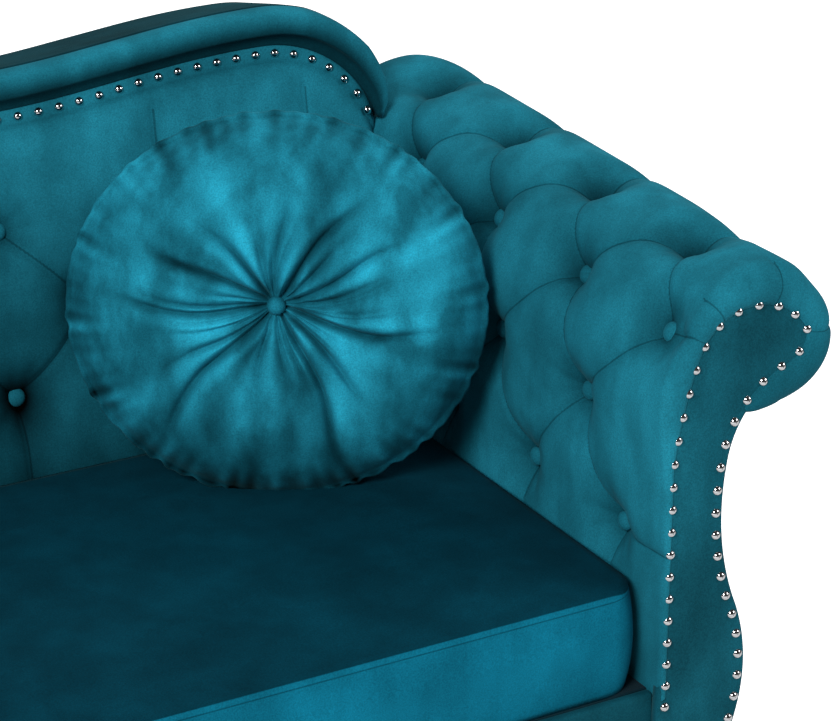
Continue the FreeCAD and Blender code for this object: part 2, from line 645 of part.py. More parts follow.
def top_run(y, turn_down):
    """The right half of the back's serpentine top edge: crest, dip, crest, then down to the arm."""
    half, rise = size("crest_spacing") / 4, size("back_wave") / 2
    crest = size("back_height")
    radius, angle = size("shoulder_radius"), radians(turn_down)
    swing = [Vector(step * half, y, crest - rise * low) for step, low in enumerate((0, 1, 2, 1, 0))]
    bows = [rise / 4, -rise / 4, -rise / 4, rise / 4]
    centre = swing[-1] - Vector(0, 0, radius)
    around = [centre + Vector(radius * sin(turned), 0, radius * cos(turned)) for turned in (angle / 2, angle)]
    waves = [bowed(start, end, bow) for start, end, bow in zip(swing, swing[1:], bows)]
    return waves + [arc(swing[-1], *around)]


def under_top(low, side):
    """A face of the back, from a level up to the serpentine edge, as wide as a side on each hand."""
    right = top_run(0, size("border_turn"))
    shoulder = right[-1].Vertexes[-1].Point
    meet = Vector(arm_inner + size("arm_pad_thickness"), 0, shoulder.z - size("arm_pad_thickness"))
    right += [line(shoulder, meet), line(meet, Vector(side, 0, low))]
    left = [mirrored(edge) for edge in right]
    floor = line(Vector(side, 0, low), Vector(-side, 0, low))
    return Part.Face(Part.Wire(Part.sortEdges(right + left + [floor])[0]))


pad_side = arm_inner + size("arm_pad_thickness") / 2
pad_low = -size("cushion_thickness") * 1.5
pad_form = leant(under_top(pad_low, pad_side).extrude(Vector(0, behind_pad, 0)), UNDER_DECK, *arm_forms)


def on_back(x, up):
    """A place on the front of the inside back, and the way out of it."""
    return back_pose.multVec(Vector(x, 0, up)), back_pose.Rotation.multVec(FRONT)


pitch = size("back_tuft_pitch")
low_row, row_rise = size("back_tuft_low"), size("back_tuft_rise")
wide = int((arm_inner - size("tuft_radius")) / pitch)
outer_xs = [step * pitch for step in range(-wide, wide + 1)]
middle_xs = [(step + 0.5) * pitch for step in range(-wide, wide)]
back_rows = [[on_back(x, low_row) for x in outer_xs],
             [on_back(x, low_row + row_rise) for x in middle_xs],
             [on_back(x, low_row + 2 * row_rise) for x in outer_xs]]
back_pleats = []
for outer_row in (back_rows[0], back_rows[2]):
    for outer_point, outward in outer_row:
        for middle_point, outward in back_rows[1]:
            if abs(outer_point.x - middle_point.x) < pitch:
                back_pleats.append(pleat(outer_point, middle_point, outward))
for x in outer_xs:
    back_pleats.append(pleat(on_back(x, low_row)[0], on_back(x, 0)[0], on_back(x, 0)[1]))
    top = rail_low + size("top_rail_height") - 2 * size("nail_inset")
    back_pleats.append(pleat(on_back(x, low_row + 2 * row_rise)[0], on_back(x, top)[0], on_back(x, 0)[1]))
back_pad, back_buttons = tufted(pad_form, sum(back_rows, []), back_pleats)
formed("back_pad", back_pad)
formed("back_buttons", back_buttons)

# Rolled border along the top: a cove, a roll and a flat top, carried along the serpentine edge
crest = size("back_height")
overhang, cove, height = size("border_overhang"), size("border_cove"), size("border_height")
border_back = behind_posts + size("arm_post_depth")
corners = [Vector(0, 0, crest), Vector(0, -overhang, crest + cove), Vector(0, 0, crest + height),
           Vector(0, border_back, crest + height), Vector(0, border_back, crest)]
cove_middle = Vector(0, -overhang / 4, crest + cove * 3 / 4)
roll_middle = Vector(0, -overhang * 1.25, crest + (cove + height) / 2 + cove / 2)
border_section = Part.Wire([
    arc(corners[0], cove_middle, corners[1]), arc(corners[1], roll_middle, corners[2]),
    line(corners[2], corners[3]), line(corners[3], corners[4]), line(corners[4], corners[0])])
border_half = Part.Wire(top_run(0, size("border_turn"))).makePipeShell([border_section], True, False)
border_form = border_half.fuse(mirrored(border_half)).removeSplitter()
back_border = leant(border_form, BEHIND, *arm_forms)
formed("back_top_border", back_border)
formed_pair("arm_rear_post", rear_post.cut(back_border))
nail_top = Part.Wire(top_run(0, size("back_nail_turn")))
nail_runs = nail_top.makeOffset2D(-size("nail_inset"), openResult=True).Edges
nail_path = Part.Wire(Part.sortEdges(nail_runs)[0])
half_count = int(nail_path.Length / size("back_nail_pitch"))
nail_sizes = (size("nail_diameter"), size("nail_height"))
back_nails = [cap(on_back(side * point.x, point.z)[0], on_back(0, 0)[1], *nail_sizes)
              for point in nail_path.discretize(Number=half_count)
              for side in (1, -1) if side > 0 or point.x > size("nail_diameter")]
formed("back_nails", Part.makeCompound(back_nails))

# Wood inside the back
post_x = arm_inner - size("post_inset") - size("post_width")
upright_x = size("crest_spacing") / 2
tack_top = size("tacking_rail_height") + size("tacking_rail_lift")


def back_stick(x, low, high):
    """An upright of the back from one level to another."""
    return Part.makeBox(size("post_width"), size("post_thickness"), high - low, Vector(x, behind_pad, low))


formed("back_posts", Part.makeCompound([
    leant(back_stick(x, pad_low, rail_low), UNDER_RAILS) for x in (post_x, -post_x - size("post_width"))]))
formed("back_uprights", Part.makeCompound([
    leant(back_stick(x - size("post_width") / 2, tack_top, rail_low)) for x in (upright_x, -upright_x)]))
tacking_rail = Part.makeBox(2 * post_x, size("post_thickness"), size("tacking_rail_height"),
                            Vector(-post_x, behind_pad, tack_top - size("tacking_rail_height")))
formed("back_tacking_rail", leant(tacking_rail))
rail_form = under_top(rail_low, arm_inner).extrude(Vector(0, size("post_thickness"), 0))
rail_form.translate(Vector(0, behind_pad, 0))
formed("back_top_rail", leant(rail_form, *arm_forms))

# Covered board outside the back, with the ends of the arm rolls
panel_drop = size("seat_height") - behind_posts * sin(rake) + size("border_height") / 2
back_sheet = under_top(frame_bottom - panel_drop, arm_inner).extrude(Vector(0, size("panel_thickness"), 0))
back_sheet.translate(Vector(0, panel_y, panel_drop))
arm_end = Part.Face(arm_section(panel_y, 0)).extrude(-FRONT * size("panel_thickness"))
end_top = Vector(arm_inner, facing_back_y, roll_z)
end_foot = Vector(arm_inner, facing_back_y, size("facing_bottom"))
end_edges = [line(outer_run[0].Vertexes[0].Point, end_top), line(end_top, end_foot),
             line(end_foot, outer_run[-1].Vertexes[-1].Point)]
side_end = Part.Face(Part.Wire(Part.sortEdges(outer_run + end_edges)[0]))
side_end = side_end.extrude(-FRONT * size("panel_thickness"))
side_end.translate(Vector(0, panel_y - facing_back_y, 0))
ends = [arm_end, side_end, mirrored(arm_end), mirrored(side_end)]
formed("back_outer_panel", back_sheet.fuse(ends).removeSplitter().cut(back_border))
kept_board("front_rail_cover", "Sizes.inner_width", "Sizes.rail_cover_thickness",
           f"{DECK_BOTTOM} + Sizes.deck_thickness - Sizes.facing_bottom",
           (LEFT_END, FACING_BACK, "Sizes.facing_bottom"))


def cushion_section(z, inset, swell):
    """The cushion's outline at a height: sides pulled in between rounded corners."""
    half = arm_inner - size("cushion_gap") - size("cushion_swell") - inset + swell
    front = cushion_front + inset - swell
    rear = back_y + (z - size("seat_height")) * tan(rake) - size("cushion_gap") - inset
    corner, draw = size("cushion_corner"), size("cushion_draw")
    short = corner * (1 - sqrt(0.5))
    spots = [(-half, front, 1, 1), (half, front, -1, 1), (half, rear, -1, -1), (-half, rear, 1, -1)]
    edges = []
    for index, (x, y, to_x, to_y) in enumerate(spots):
        along_y, along_x = Vector(x, y + to_y * corner, z), Vector(x + to_x * corner, y, z)
        first, last = (along_y, along_x) if index % 2 == 0 else (along_x, along_y)
        edges.append(arc(first, Vector(x + to_x * short, y + to_y * short, z), last))
        next_x, next_y, next_to_x, next_to_y = spots[(index + 1) % 4]
        pull = [Vector(0, draw, 0), Vector(-draw, 0, 0), Vector(0, -draw, 0), Vector(draw, 0, 0)][index]
        if index % 2 == 0:
            following = Vector(next_x + next_to_x * corner, next_y, z)
        else:
            following = Vector(next_x, next_y + next_to_y * corner, z)
        edges.append(arc(last, (last + following) / 2 + pull, following))
    return Part.Wire(edges)


def cushion_form(inset):
    """The bench cushion: boxing that swells at mid height under a low crown."""
    low = size("seat_height") - size("cushion_thickness") + inset
    seam = size("seat_height") - inset
    swell, crown, reach = size("cushion_swell"), size("cushion_crown"), size("seat_depth") / 3
    levels = [(low, 0, 0), ((low + seam) / 2, 0, swell), (seam, 0, 0)]
    levels += [(seam + crown * sin(radians(90 * share)), reach * share, 0) for share in (0.25, 0.6, 1)]
    sections = [cushion_section(z, inset + level_inset, out) for z, level_inset, out in levels]
    return Part.makeLoft(sections, True, True)


cushion = cushion_form(0)
cushion_core = cushion_form(size("cover_thickness"))
formed("seat_cushion_cover", cushion.cut(cushion_core))
formed("seat_cushion_core", cushion_core)


def pillow_form(inset):
    """A round pillow about the z axis: gathered rim, full middle and a tuft in the centre of each side."""
    rim = size("pillow_diameter") / 2 - inset
    lip = size("pillow_rim") / 2 - inset
    full = size("pillow_thickness") / 2 - inset
    seat = full - size("pillow_tuft") + inset
    button = size("pillow_button") / 2
    spread = rim * 0.45

    def side(way):
        spots = [(0, seat), (button, seat), (button + (spread - button) * 0.3, seat + (full - seat) * 0.75),
                 (spread, full), (spread + (rim - spread) * 0.66, full * 0.72), (rim - lip, lip)]
        flat, start, swell, top, fall, end = [Vector(out, 0, way * up) for out, up in spots]
        return [line(flat, start), arc(start, swell, top), arc(top, fall, end)]

    rim_edge = arc(Vector(rim - lip, 0, lip), Vector(rim, 0, 0), Vector(rim - lip, 0, -lip))
    axis = line(Vector(0, 0, seat), Vector(0, 0, -seat))
    wire = Part.Wire(Part.sortEdges(side(1) + [rim_edge] + side(-1) + [axis])[0])
    return Part.Face(wire).revolve(Vector(0, 0, 0), Vector(0, 0, 1), 360)


def settled(shape, seat):
    """A loose piece lowered until it all but touches its seat."""
    resting = shape.copy()
    for attempt in range(8):
        gap = resting.distToShape(seat)[0] - size("soft_gap")
        resting.translate(Vector(0, 0, -gap))
    return resting


turned, lean = radians(size("pillow_turn")), radians(size("pillow_lean"))
facing_way = Vector(-sin(turned) * cos(lean), -cos(turned) * cos(lean), sin(lean))
pillow_high = size("seat_height") + size("cushion_crown") + size("pillow_diameter")
pillow_middle = Vector(arm_inner - size("pillow_from_arm"), back_y - size("pillow_from_back"), pillow_high)
pillow_pose = Placement(pillow_middle, Rotation(Vector(0, 0, 1), facing_way))
pillow = pillow_form(0)
pillow.Placement = pillow_pose
resting = settled(pillow, cushion)
drop = Vector(0, 0, resting.BoundBox.ZMin - pillow.BoundBox.ZMin)
fill = pillow_form(size("cover_thickness"))
button_seat = size("pillow_thickness") / 2 - size("pillow_tuft")
pillow_heads = Part.makeCompound([
    cap(Vector(0, 0, way * button_seat), Vector(0, 0, way), size("pillow_button"), size("button_height"))
    for way in (1, -1)])
for piece in (fill, pillow_heads):
    piece.Placement = pillow_pose
    piece.translate(drop)
formed_pair("pillow_cover", resting.cut(fill))
formed_pair("pillow_fill", fill)
formed_pair("pillow_buttons", pillow_heads)

doc.recompute()
for item in doc.Objects:
    if "Invalid" in item.State or "Error" in item.State:
        raise RuntimeError(f"{item.Label} did not recompute")
for item in parts:
    if item.Shape.isNull() or not item.Shape.isValid():
        raise RuntimeError(f"{item.Label} has no valid shape")
os.makedirs("parts", exist_ok=True)
for item in parts:
    item.Shape.exportStep(os.path.join("parts", f"{item.Label}.step"))
    print(item.Label, len(item.Shape.Solids), "solid(s)", round(item.Shape.Volume / 1000), "cm3")
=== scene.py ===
"""Looks of a buttoned velvet sofa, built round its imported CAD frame.

Metres. The origin is on the floor under the middle of the sofa, +Z is up and the front faces -Y. Laid out
as an add-on: sizes and colours are properties, each piece or group of like pieces is an operator.
"""
import json
from math import cos, pi, radians, sin

import bmesh
import bpy
import numpy as np
from bpy.props import FloatProperty, FloatVectorProperty, IntProperty, PointerProperty
from mathutils import Euler, Matrix, Vector


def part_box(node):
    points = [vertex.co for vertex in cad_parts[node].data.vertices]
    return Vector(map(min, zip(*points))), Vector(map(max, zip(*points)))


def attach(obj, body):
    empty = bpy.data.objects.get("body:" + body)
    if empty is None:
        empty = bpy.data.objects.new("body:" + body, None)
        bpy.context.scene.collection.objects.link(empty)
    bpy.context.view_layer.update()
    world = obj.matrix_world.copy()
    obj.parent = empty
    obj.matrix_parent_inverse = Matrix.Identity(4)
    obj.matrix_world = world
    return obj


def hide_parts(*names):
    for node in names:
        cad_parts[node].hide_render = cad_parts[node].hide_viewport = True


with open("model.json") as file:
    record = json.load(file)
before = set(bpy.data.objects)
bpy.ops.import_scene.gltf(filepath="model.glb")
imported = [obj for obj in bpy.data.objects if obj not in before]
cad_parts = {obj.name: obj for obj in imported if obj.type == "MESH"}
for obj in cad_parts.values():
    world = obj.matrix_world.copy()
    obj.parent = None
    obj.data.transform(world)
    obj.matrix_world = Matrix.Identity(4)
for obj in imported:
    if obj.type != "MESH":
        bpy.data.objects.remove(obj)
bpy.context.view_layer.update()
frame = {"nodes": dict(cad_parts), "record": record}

bl_info = {
    "name": "Buttoned Sofa",
    "version": (1, 0, 0),
    "blender": (4, 5, 0),
    "location": "3D View > Sidebar > Sofa",
    "description": "Covers the packed frame of a scroll-arm sofa with velvet",
    "category": "Object",
}

SIDES = {"right": 1, "left": -1}
# Points on each stretch of the facing's outline
FACING_RUN = 18
# How far behind the facing the wood of the scroll board keeps wells shallow
FRONT_REACH = 0.075


def corner(node, end, axis):
    """One coordinate of a CAD node's box: end 0 is its low corner and 1 its high corner."""
    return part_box(node)[end]["xyz".index(axis)]


ARM_INNER = corner("arm_pad_right", 0, "x")
ARM_OUTER = corner("arm_pad_right", 1, "x")
DECK_BOTTOM = corner("arm_pad_right", 0, "z")
FACING_BACK = corner("arm_facing_right", 1, "y")
FACE = corner("arm_facing_right", 0, "y")
PANEL = corner("arm_pad_right", 1, "y")
OUTSIDE_BACK = corner("back_outer_panel", 1, "y")
DECK_TOP = corner("deck_pad", 1, "z")
CUSHION_LOW = corner("seat_cushion_cover", 0, "z")


def length(label, words, default):
    """A length that a user can set."""
    return FloatProperty(name=label, description=words, default=default, unit="LENGTH", precision=4)


def angular(label, words, degrees):
    """An angle that a user can set."""
    return FloatProperty(name=label, description=words, default=radians(degrees), subtype="ANGLE")


def fraction(label, words, default):
    """A share of another size or strength that a user can set."""
    return FloatProperty(name=label, description=words, default=default, subtype="FACTOR")


def colour(label, words, default):
    """A colour that a user can set, in linear light."""
    return FloatVectorProperty(name=label, description=words, default=default, subtype="COLOR", size=3,
                               min=0, max=1)


class SofaArmSizes(bpy.types.PropertyGroup):
    """Outline of an arm across the sofa, as the CAD frame has it"""
    rise: length("Rise", "Rise of the roll from front to back", 0.038)
    roll_radius: length("Roll radius", "Radius of the arm's roll", 0.077)
    turn_in: length("Turn in", "Most depth of the roll's rounded front edge", 0.024)
    rear_round: length("Rear round", "Roll in from its outline at the back end", 0.029)
    puff: length("Puff", "Roll standing out round its front edge", 0.005)
    nail_inset: length("Nail inset", "Facing's edge to its line of nails", 0.009)
    straight: length("Straight", "Height where the inside face starts to lean out", 0.590)
    top: length("Top", "Top of the roll at the front", 0.783)
    lean: length("Lean", "How far the inside face leans out", 0.015)
    pad: length("Pad", "Thickness of the inside padding", 0.035)
    shoulder: fraction("Shoulder", "Fullness of the shoulder over its run", 0.2)
    facing_edge: length("Facing edge", "Facing in past the inside face", 0.002)
    facing_low: length("Facing low", "Floor to the facing's lower end", 0.122)
    scroll: length("Scroll", "Radius of the facing's scroll", 0.055)
    scroll_bow: fraction("Scroll bow", "Fullness of the scroll's shoulder over its run", 0.15)
    scroll_shoulder: length("Scroll shoulder", "Scroll in from the lean of the inside face", 0.009)
    neck: length("Neck", "Narrowest width of the facing", 0.075)
    neck_height: length("Neck height", "Floor to the facing's neck", 0.500)
    belly: length("Belly", "Widest width of the facing", 0.111)
    belly_height: length("Belly height", "Floor to the facing's belly", 0.345)
    foot: length("Foot", "Width of the facing's lower end", 0.077)
    flare: length("Flare", "Facing over its neck at the scroll", 0.002)
    hip: length("Hip", "Fullness of the facing under its belly", 0.006)


class SofaBackSizes(bpy.types.PropertyGroup):
    """Outline of the back, up its lean, as the CAD frame has it"""
    rake: angular("Rake", "Lean of the inside back", 9)
    foot: length("Foot", "Inside back at seat height, front to back", 0.2048)
    seat: length("Seat", "Height of the seat where the lean starts", 0.440)
    crest: length("Crest", "Seat to the crest of the pad, up the lean", 0.454)
    wave: length("Wave", "Crest to dip of the top", 0.028)
    spacing: length("Spacing", "Between crests", 0.728)
    shoulder: length("Shoulder", "Radius where the top turns down to the arm", 0.152)
    turn: angular("Turn", "How far the border turns down to the arm", 72)
    pad: length("Pad", "Thickness of the inside back", 0.070)
    border: length("Border", "Height of the border over the pad", 0.046)
    half: length("Half width", "Middle of the sofa to the crease by the arm", 0.872)
    overhang: length("Overhang", "Border in front of the pad", 0.018)
    cove: length("Cove", "Height of the cove under the border's roll", 0.014)
    tape: length("Tape", "Flat tape that carries the nails", 0.020)


class SofaStitching(bpy.types.PropertyGroup):
    """How the buttons and pleats pull the velvet in"""
    step: length("Step", "Edge length of the buttoned covers", 0.0029)
    lobe_reach: length("Lobe reach", "Pleat to the flat of a lobe", 0.046)
    pleat_depth: length("Pleat depth", "Lobes over their pleats", 0.0042)
    lobe_rise: length("Lobe rise", "Lobes over the plain padding on the roll", 0.008)
    crease_depth: length("Crease depth", "Fold along a pleat", 0.0022)
    crease_width: length("Crease width", "Fold along a pleat", 0.0034)
    overlap: length("Overlap", "Upper lobe over the lower one along a pleat", 0.0015)
    well_depth: length("Well depth", "Buttons of the arms under their pleats", 0.027)
    back_well_depth: length("Back wells", "Buttons of the back under their pleats", 0.024)
    well_radius: length("Well radius", "Hollow round a button", 0.060)
    button: length("Button", "Radius of a covered button", 0.011)
    button_sink: length("Button sink", "Buttons in from where the frame has them", 0.008)
    roll_sink: length("Roll sink", "Further sink of a button that faces straight up", 0.007)
    arm_pitch: length("Arm pitch", "Buttons along an arm", 0.180)
    back_pitch: length("Back pitch", "Buttons along the back", 0.195)


class SofaCushionSizes(bpy.types.PropertyGroup):
    """The bench cushion and the round pillows"""
    crown: length("Crown", "Rise of the cushion's middle over its seam", 0.008)
    seam_rise: length("Seam rise", "Top seam over the plain cushion", 0.006)
    corner: length("Corner", "Corner radius of the cushion", 0.042)
    swell: length("Swell", "Swell of the boxing", 0.006)
    gap: length("Gap", "Room round the cushion", 0.003)
    step: length("Step", "Edge length of the cushion's cover", 0.009)
    pillow_diameter: length("Pillow diameter", "Round pillow from top to bottom", 0.436)
    pillow_spread: fraction("Pillow spread", "Width over height", 1.075)
    pillow_sag: length("Pillow sag", "Drop of the pillow's rim under its own weight", 0.006)
    pillow_thickness: length("Pillow thickness", "Round pillow at its fullest", 0.118)
    pillow_tuft: length("Pillow tuft", "Depth of the centre tuft", 0.034)
    pillow_rim: length("Pillow rim", "Thickness of the gathered rim", 0.014)
    pillow_lean: angular("Pillow lean", "Lean of a pillow", 9)
    pillow_turn: angular("Pillow turn", "Turn of a pillow into its corner", 29.5)
    folds: IntProperty(name="Folds", description="Small folds by the pillow's button", default=26)
    pressure: fraction("Pressure", "Strength of the pressure that plumps the loose covers", 4.0)


class SofaColours(bpy.types.PropertyGroup):
    """Colours of the finishes"""
    velvet: colour("Velvet", "Velvet of the arms and back", (0.0100, 0.152, 0.213))
    seat_velvet: colour("Seat velvet", "Velvet of the bench cushion", (0.0020, 0.092, 0.147))
    pillow_velvet: colour("Pillow velvet", "Velvet of the pillows", (0.0090, 0.160, 0.230))
    sheen: colour("Sheen", "Light along the velvet's pile", (0.18, 0.54, 0.60))
    chrome: colour("Chrome", "Nail heads", (0.66, 0.66, 0.67))
    leg_wood: colour("Leg wood", "Stained legs", (0.030, 0.017, 0.011))
    frame_wood: colour("Frame wood", "Beech of the frame", (0.50, 0.34, 0.20))
    steel: colour("Steel", "Springs, plates and bolts", (0.42, 0.43, 0.45))
    felt: colour("Felt", "Cloth of the seat deck", (0.001, 0.022, 0.034))
    lining: colour("Lining", "Dust cover", (0.018, 0.019, 0.021))
    filling: colour("Filling", "Fill of the loose pieces", (0.82, 0.80, 0.75))
    glide: colour("Glide", "Plastic under the legs", (0.06, 0.06, 0.062))


class SofaStage(bpy.types.PropertyGroup):
    """Camera, floor and lights"""
    camera: FloatVectorProperty(name="Camera", description="Place of the camera", subtype="TRANSLATION",
                                default=(-0.6594, -2.5397, 1.7930), size=3)
    tilt: angular("Tilt", "Camera's tilt up from straight down", 67.5)
    turn: angular("Turn", "Camera's turn about the upright", -29.5)
    lens: FloatProperty(name="Lens", description="Focal length in millimetres", default=121.0, unit="CAMERA")
    floor: colour("Floor", "Pale floor", (0.86, 0.86, 0.86))
    fill: fraction("Fill", "Light from all round", 0.30)


def settings():
    """The scene's own sizes and colours."""
    return bpy.context.scene.sofa


# Finishes: one function for each kind of material, with its detail on Object coordinates
def new_finish(name, **sockets):
    """A node material with the values that are the same all over set on its shader."""
    made = bpy.data.materials.new(f"sofa_{name}")
    made.use_nodes = True
    shader = made.node_tree.nodes["Principled BSDF"]
    for socket, value in sockets.items():
        shader.inputs[socket.replace("_", " ").title().replace("Ior", "IOR")].default_value = value
    return made, made.node_tree, shader


def speckle(tree, scale, detail, stretch=(1, 1, 1)):
    """Noise over the piece, stretched along an axis where the grain runs."""
    place = tree.nodes.new("ShaderNodeTexCoord")
    mapping = tree.nodes.new("ShaderNodeMapping")
    mapping.inputs["Scale"].default_value = stretch
    noise = tree.nodes.new("ShaderNodeTexNoise")
    noise.inputs["Scale"].default_value = scale
    noise.inputs["Detail"].default_value = detail
    tree.links.new(place.outputs["Object"], mapping.inputs["Vector"])
    tree.links.new(mapping.outputs["Vector"], noise.inputs["Vector"])
    return noise.outputs["Fac"]


def ranged(tree, source, low, high, start=0.3, end=0.7):
    """A value carried from one range to another: noise's middle values unless told otherwise."""
    reach = tree.nodes.new("ShaderNodeMapRange")
    for socket, value in (("From Min", start), ("From Max", end), ("To Min", low), ("To Max", high)):
        reach.inputs[socket].default_value = value
    tree.links.new(source, reach.inputs["Value"])
    return reach.outputs["Result"]


def toned(tree, share, dark, light):
    """A colour between two tones."""
    mix = tree.nodes.new("ShaderNodeMix")
    mix.data_type = "RGBA"
    colours = [socket for socket in mix.inputs if socket.type == "RGBA"]
    colours[0].default_value = (*dark, 1)
    colours[1].default_value = (*light, 1)
    tree.links.new(share, mix.inputs["Factor"])
    return next(socket for socket in mix.outputs if socket.type == "RGBA")


def raised(tree, height, strength, distance, under=None):
    """Fine relief from a height, over the relief that is already there."""
    bump = tree.nodes.new("ShaderNodeBump")
    bump.inputs["Strength"].default_value = strength
    bump.inputs["Distance"].default_value = distance
    tree.links.new(height, bump.inputs["Height"])
    if under:
        tree.links.new(under, bump.inputs["Normal"])
    return bump.outputs["Normal"]


def shaded(tone, factor):
    """A tone made darker or lighter."""
    return tuple(min(1.0, part * factor) for part in tone)


def worked(tree, operation, first, second):
    """The result of one Math node: each side is a socket or a number."""
    math = tree.nodes.new("ShaderNodeMath")
    math.operation = operation
    for value, socket in zip((first, second), math.inputs):
        if isinstance(value, (int, float)):
            socket.default_value = value
        else:
            tree.links.new(value, socket)
    return math.outputs["Value"]


def stitch_and_shade_line(tree, across, middle, half, dark):
    """A thin dark line where a value crosses a middle, as a share of the light that is left there: stitches
    on a boxed cushion, painted shade along a pleat's crease.
    """
    off = worked(tree, "ABSOLUTE", worked(tree, "SUBTRACT", across, middle), 0)
    return ranged(tree, off, dark, 1, half * 0.5, half)


# Tones of a boxed cushion as shares of its velvet: painted shade on its top, painted light on its boxing, and
# the stitches under the top seam
TOP_PAINTED_SHADE, BOXING_PAINTED_LIGHT, STITCH_TONE = 0.36, 1.38, 0.55
# Centimetres down from the top seam: where the painted shade of the top gives way to the painted light of the
# boxing, and the line of stitches with its half width
SEAM_START, SEAM_END, STITCH_LINE, STITCH_HALF = -0.10, 0.06, 0.66, 0.10
# Painted shade along a pleat's crease, drawn as a thin dark line: least nearness, half width across the fold,
# and the share of light left in it
CREASE_NEAR, CREASE_HALF, CREASE_PAINTED_SHADE = 0.8, 0.24, 0.58


def with_painted_shade(tree, tone, boxed):
    """A tone with painted light and shade from what each cover keeps: its painted shade, and a painted shade
    line along its folds where they are near.

    On a boxed cushion the fold counts centimetres down from the top seam, which gives the top painted shade,
    the boxing painted light and the line of stitches.
    """
    painted_shading = tree.nodes.new("ShaderNodeAttribute")
    painted_shading.attribute_name = "painted_shading"
    parts = tree.nodes.new("ShaderNodeSeparateXYZ")
    tree.links.new(painted_shading.outputs["Vector"], parts.inputs["Vector"])
    painted_shade, fold, near = (parts.outputs[axis] for axis in "XYZ")
    light = worked(tree, "ADD", painted_shade, 1)
    if boxed:
        # Painted shade on the cushion's top and painted light on its boxing
        boxing = ranged(tree, fold, TOP_PAINTED_SHADE, BOXING_PAINTED_LIGHT, SEAM_START, SEAM_END)
        light = worked(tree, "MULTIPLY", light, boxing)
        light = worked(tree, "MULTIPLY", light, stitch_and_shade_line(tree, fold, STITCH_LINE, STITCH_HALF, STITCH_TONE))
    else:
        # Painted shade: a dark line along the crease of each pleat
        line = stitch_and_shade_line(tree, fold, 0, CREASE_HALF, CREASE_PAINTED_SHADE)
        crease = worked(tree, "MULTIPLY", worked(tree, "GREATER_THAN", near, CREASE_NEAR),
                        worked(tree, "SUBTRACT", 1, line))
        light = worked(tree, "MULTIPLY", light, worked(tree, "SUBTRACT", 1, crease))
    scaled = tree.nodes.new("ShaderNodeVectorMath")
    scaled.operation = "SCALE"
    tree.links.new(light, scaled.inputs["Scale"])
    tree.links.new(tone, scaled.inputs["Vector"])
    return scaled.outputs["Vector"]


def pile(name, tone, sheen, contrast=0.28, crush=0.14, boxed=False):
    """Velvet: patches of pile that differ at random, streaks, crushed pile and short fibres under a soft
    sheen.
    """
    made, tree, shader = new_finish(name, sheen_weight=sheen, sheen_roughness=0.36, specular_ior_level=0.03)
    shader.inputs["Sheen Tint"].default_value = (*settings().colours.sheen, 1)
    patches_and_painted_light = ranged(tree, speckle(tree, scale=7.5, detail=3), 0, 1)
    streaks = speckle(tree, scale=24, detail=5, stretch=(1, 1, 0.5))
    streaked = ranged(tree, streaks, 1 - crush, 1 + crush, start=0.38, end=0.62)
    crushed = speckle(tree, scale=58, detail=3)
    fibres = speckle(tree, scale=1100, detail=2)
    grain = ranged(tree, speckle(tree, scale=620, detail=2), 0.80, 1.20)
    patchy = toned(tree, patches_and_painted_light, shaded(tone, 1 - contrast), shaded(tone, 1 + contrast))
    lit = tree.nodes.new("ShaderNodeVectorMath")
    lit.operation = "SCALE"
    tree.links.new(patchy, lit.inputs["Vector"])
    tree.links.new(worked(tree, "MULTIPLY", streaked, grain), lit.inputs["Scale"])
    tree.links.new(with_painted_shade(tree, lit.outputs["Vector"], boxed), shader.inputs["Base Color"])
    tree.links.new(ranged(tree, fibres, 0.80, 0.95), shader.inputs["Roughness"])
    relief = raised(tree, crushed, strength=0.22, distance=0.0016)
    furred = raised(tree, fibres, strength=0.35, distance=0.0005, under=relief)
    tree.links.new(furred, shader.inputs["Normal"])
    return made


def timber(name, tone, gloss, grain):
    """Wood with its grain along one axis."""
    made, tree, shader = new_finish(name, coat_weight=gloss, coat_roughness=0.22)
    streaks = speckle(tree, scale=70, detail=5, stretch=grain)
    tree.links.new(toned(tree, ranged(tree, streaks, 0, 1), shaded(tone, 0.6), shaded(tone, 1.5)),
                   shader.inputs["Base Color"])
    tree.links.new(ranged(tree, streaks, 0.36, 0.55), shader.inputs["Roughness"])
    tree.links.new(raised(tree, streaks, strength=0.2, distance=0.0004), shader.inputs["Normal"])
    return made


def metal(name, tone, rough):
    """Bare or plated metal with faint handling marks."""
    made, tree, shader = new_finish(name, metallic=1.0)
    marks = speckle(tree, scale=320, detail=3)
    tree.links.new(toned(tree, ranged(tree, marks, 0, 1), shaded(tone, 0.9), shaded(tone, 1.05)),
                   shader.inputs["Base Color"])
    tree.links.new(ranged(tree, marks, rough, rough + 0.10), shader.inputs["Roughness"])
    return made


def weave(name, tone, pitch):
    """Plain cloth: two crossed sets of threads."""
    made, tree, shader = new_finish(name, specular_ior_level=0.1, sheen_weight=0.04)
    place = tree.nodes.new("ShaderNodeTexCoord")
    threads = []
    for direction in ("X", "Y"):
        wave = tree.nodes.new("ShaderNodeTexWave")
        wave.bands_direction = direction
        wave.inputs["Scale"].default_value = 1 / (3 * pitch)
        wave.inputs["Distortion"].default_value = 0.6
        tree.links.new(place.outputs["Object"], wave.inputs["Vector"])
        threads.append(wave.outputs["Fac"])
    crossed = tree.nodes.new("ShaderNodeMath")
    crossed.operation = "MULTIPLY"
    for thread, socket in zip(threads, crossed.inputs):
        tree.links.new(thread, socket)
    tree.links.new(toned(tree, crossed.outputs["Value"], shaded(tone, 0.7), shaded(tone, 1.3)),
                   shader.inputs["Base Color"])
    tree.links.new(ranged(tree, speckle(tree, scale=30, detail=3), 0.8, 0.95), shader.inputs["Roughness"])
    ribbed = raised(tree, crossed.outputs["Value"], strength=0.4, distance=0.0005)
    tree.links.new(ribbed, shader.inputs["Normal"])
    return made


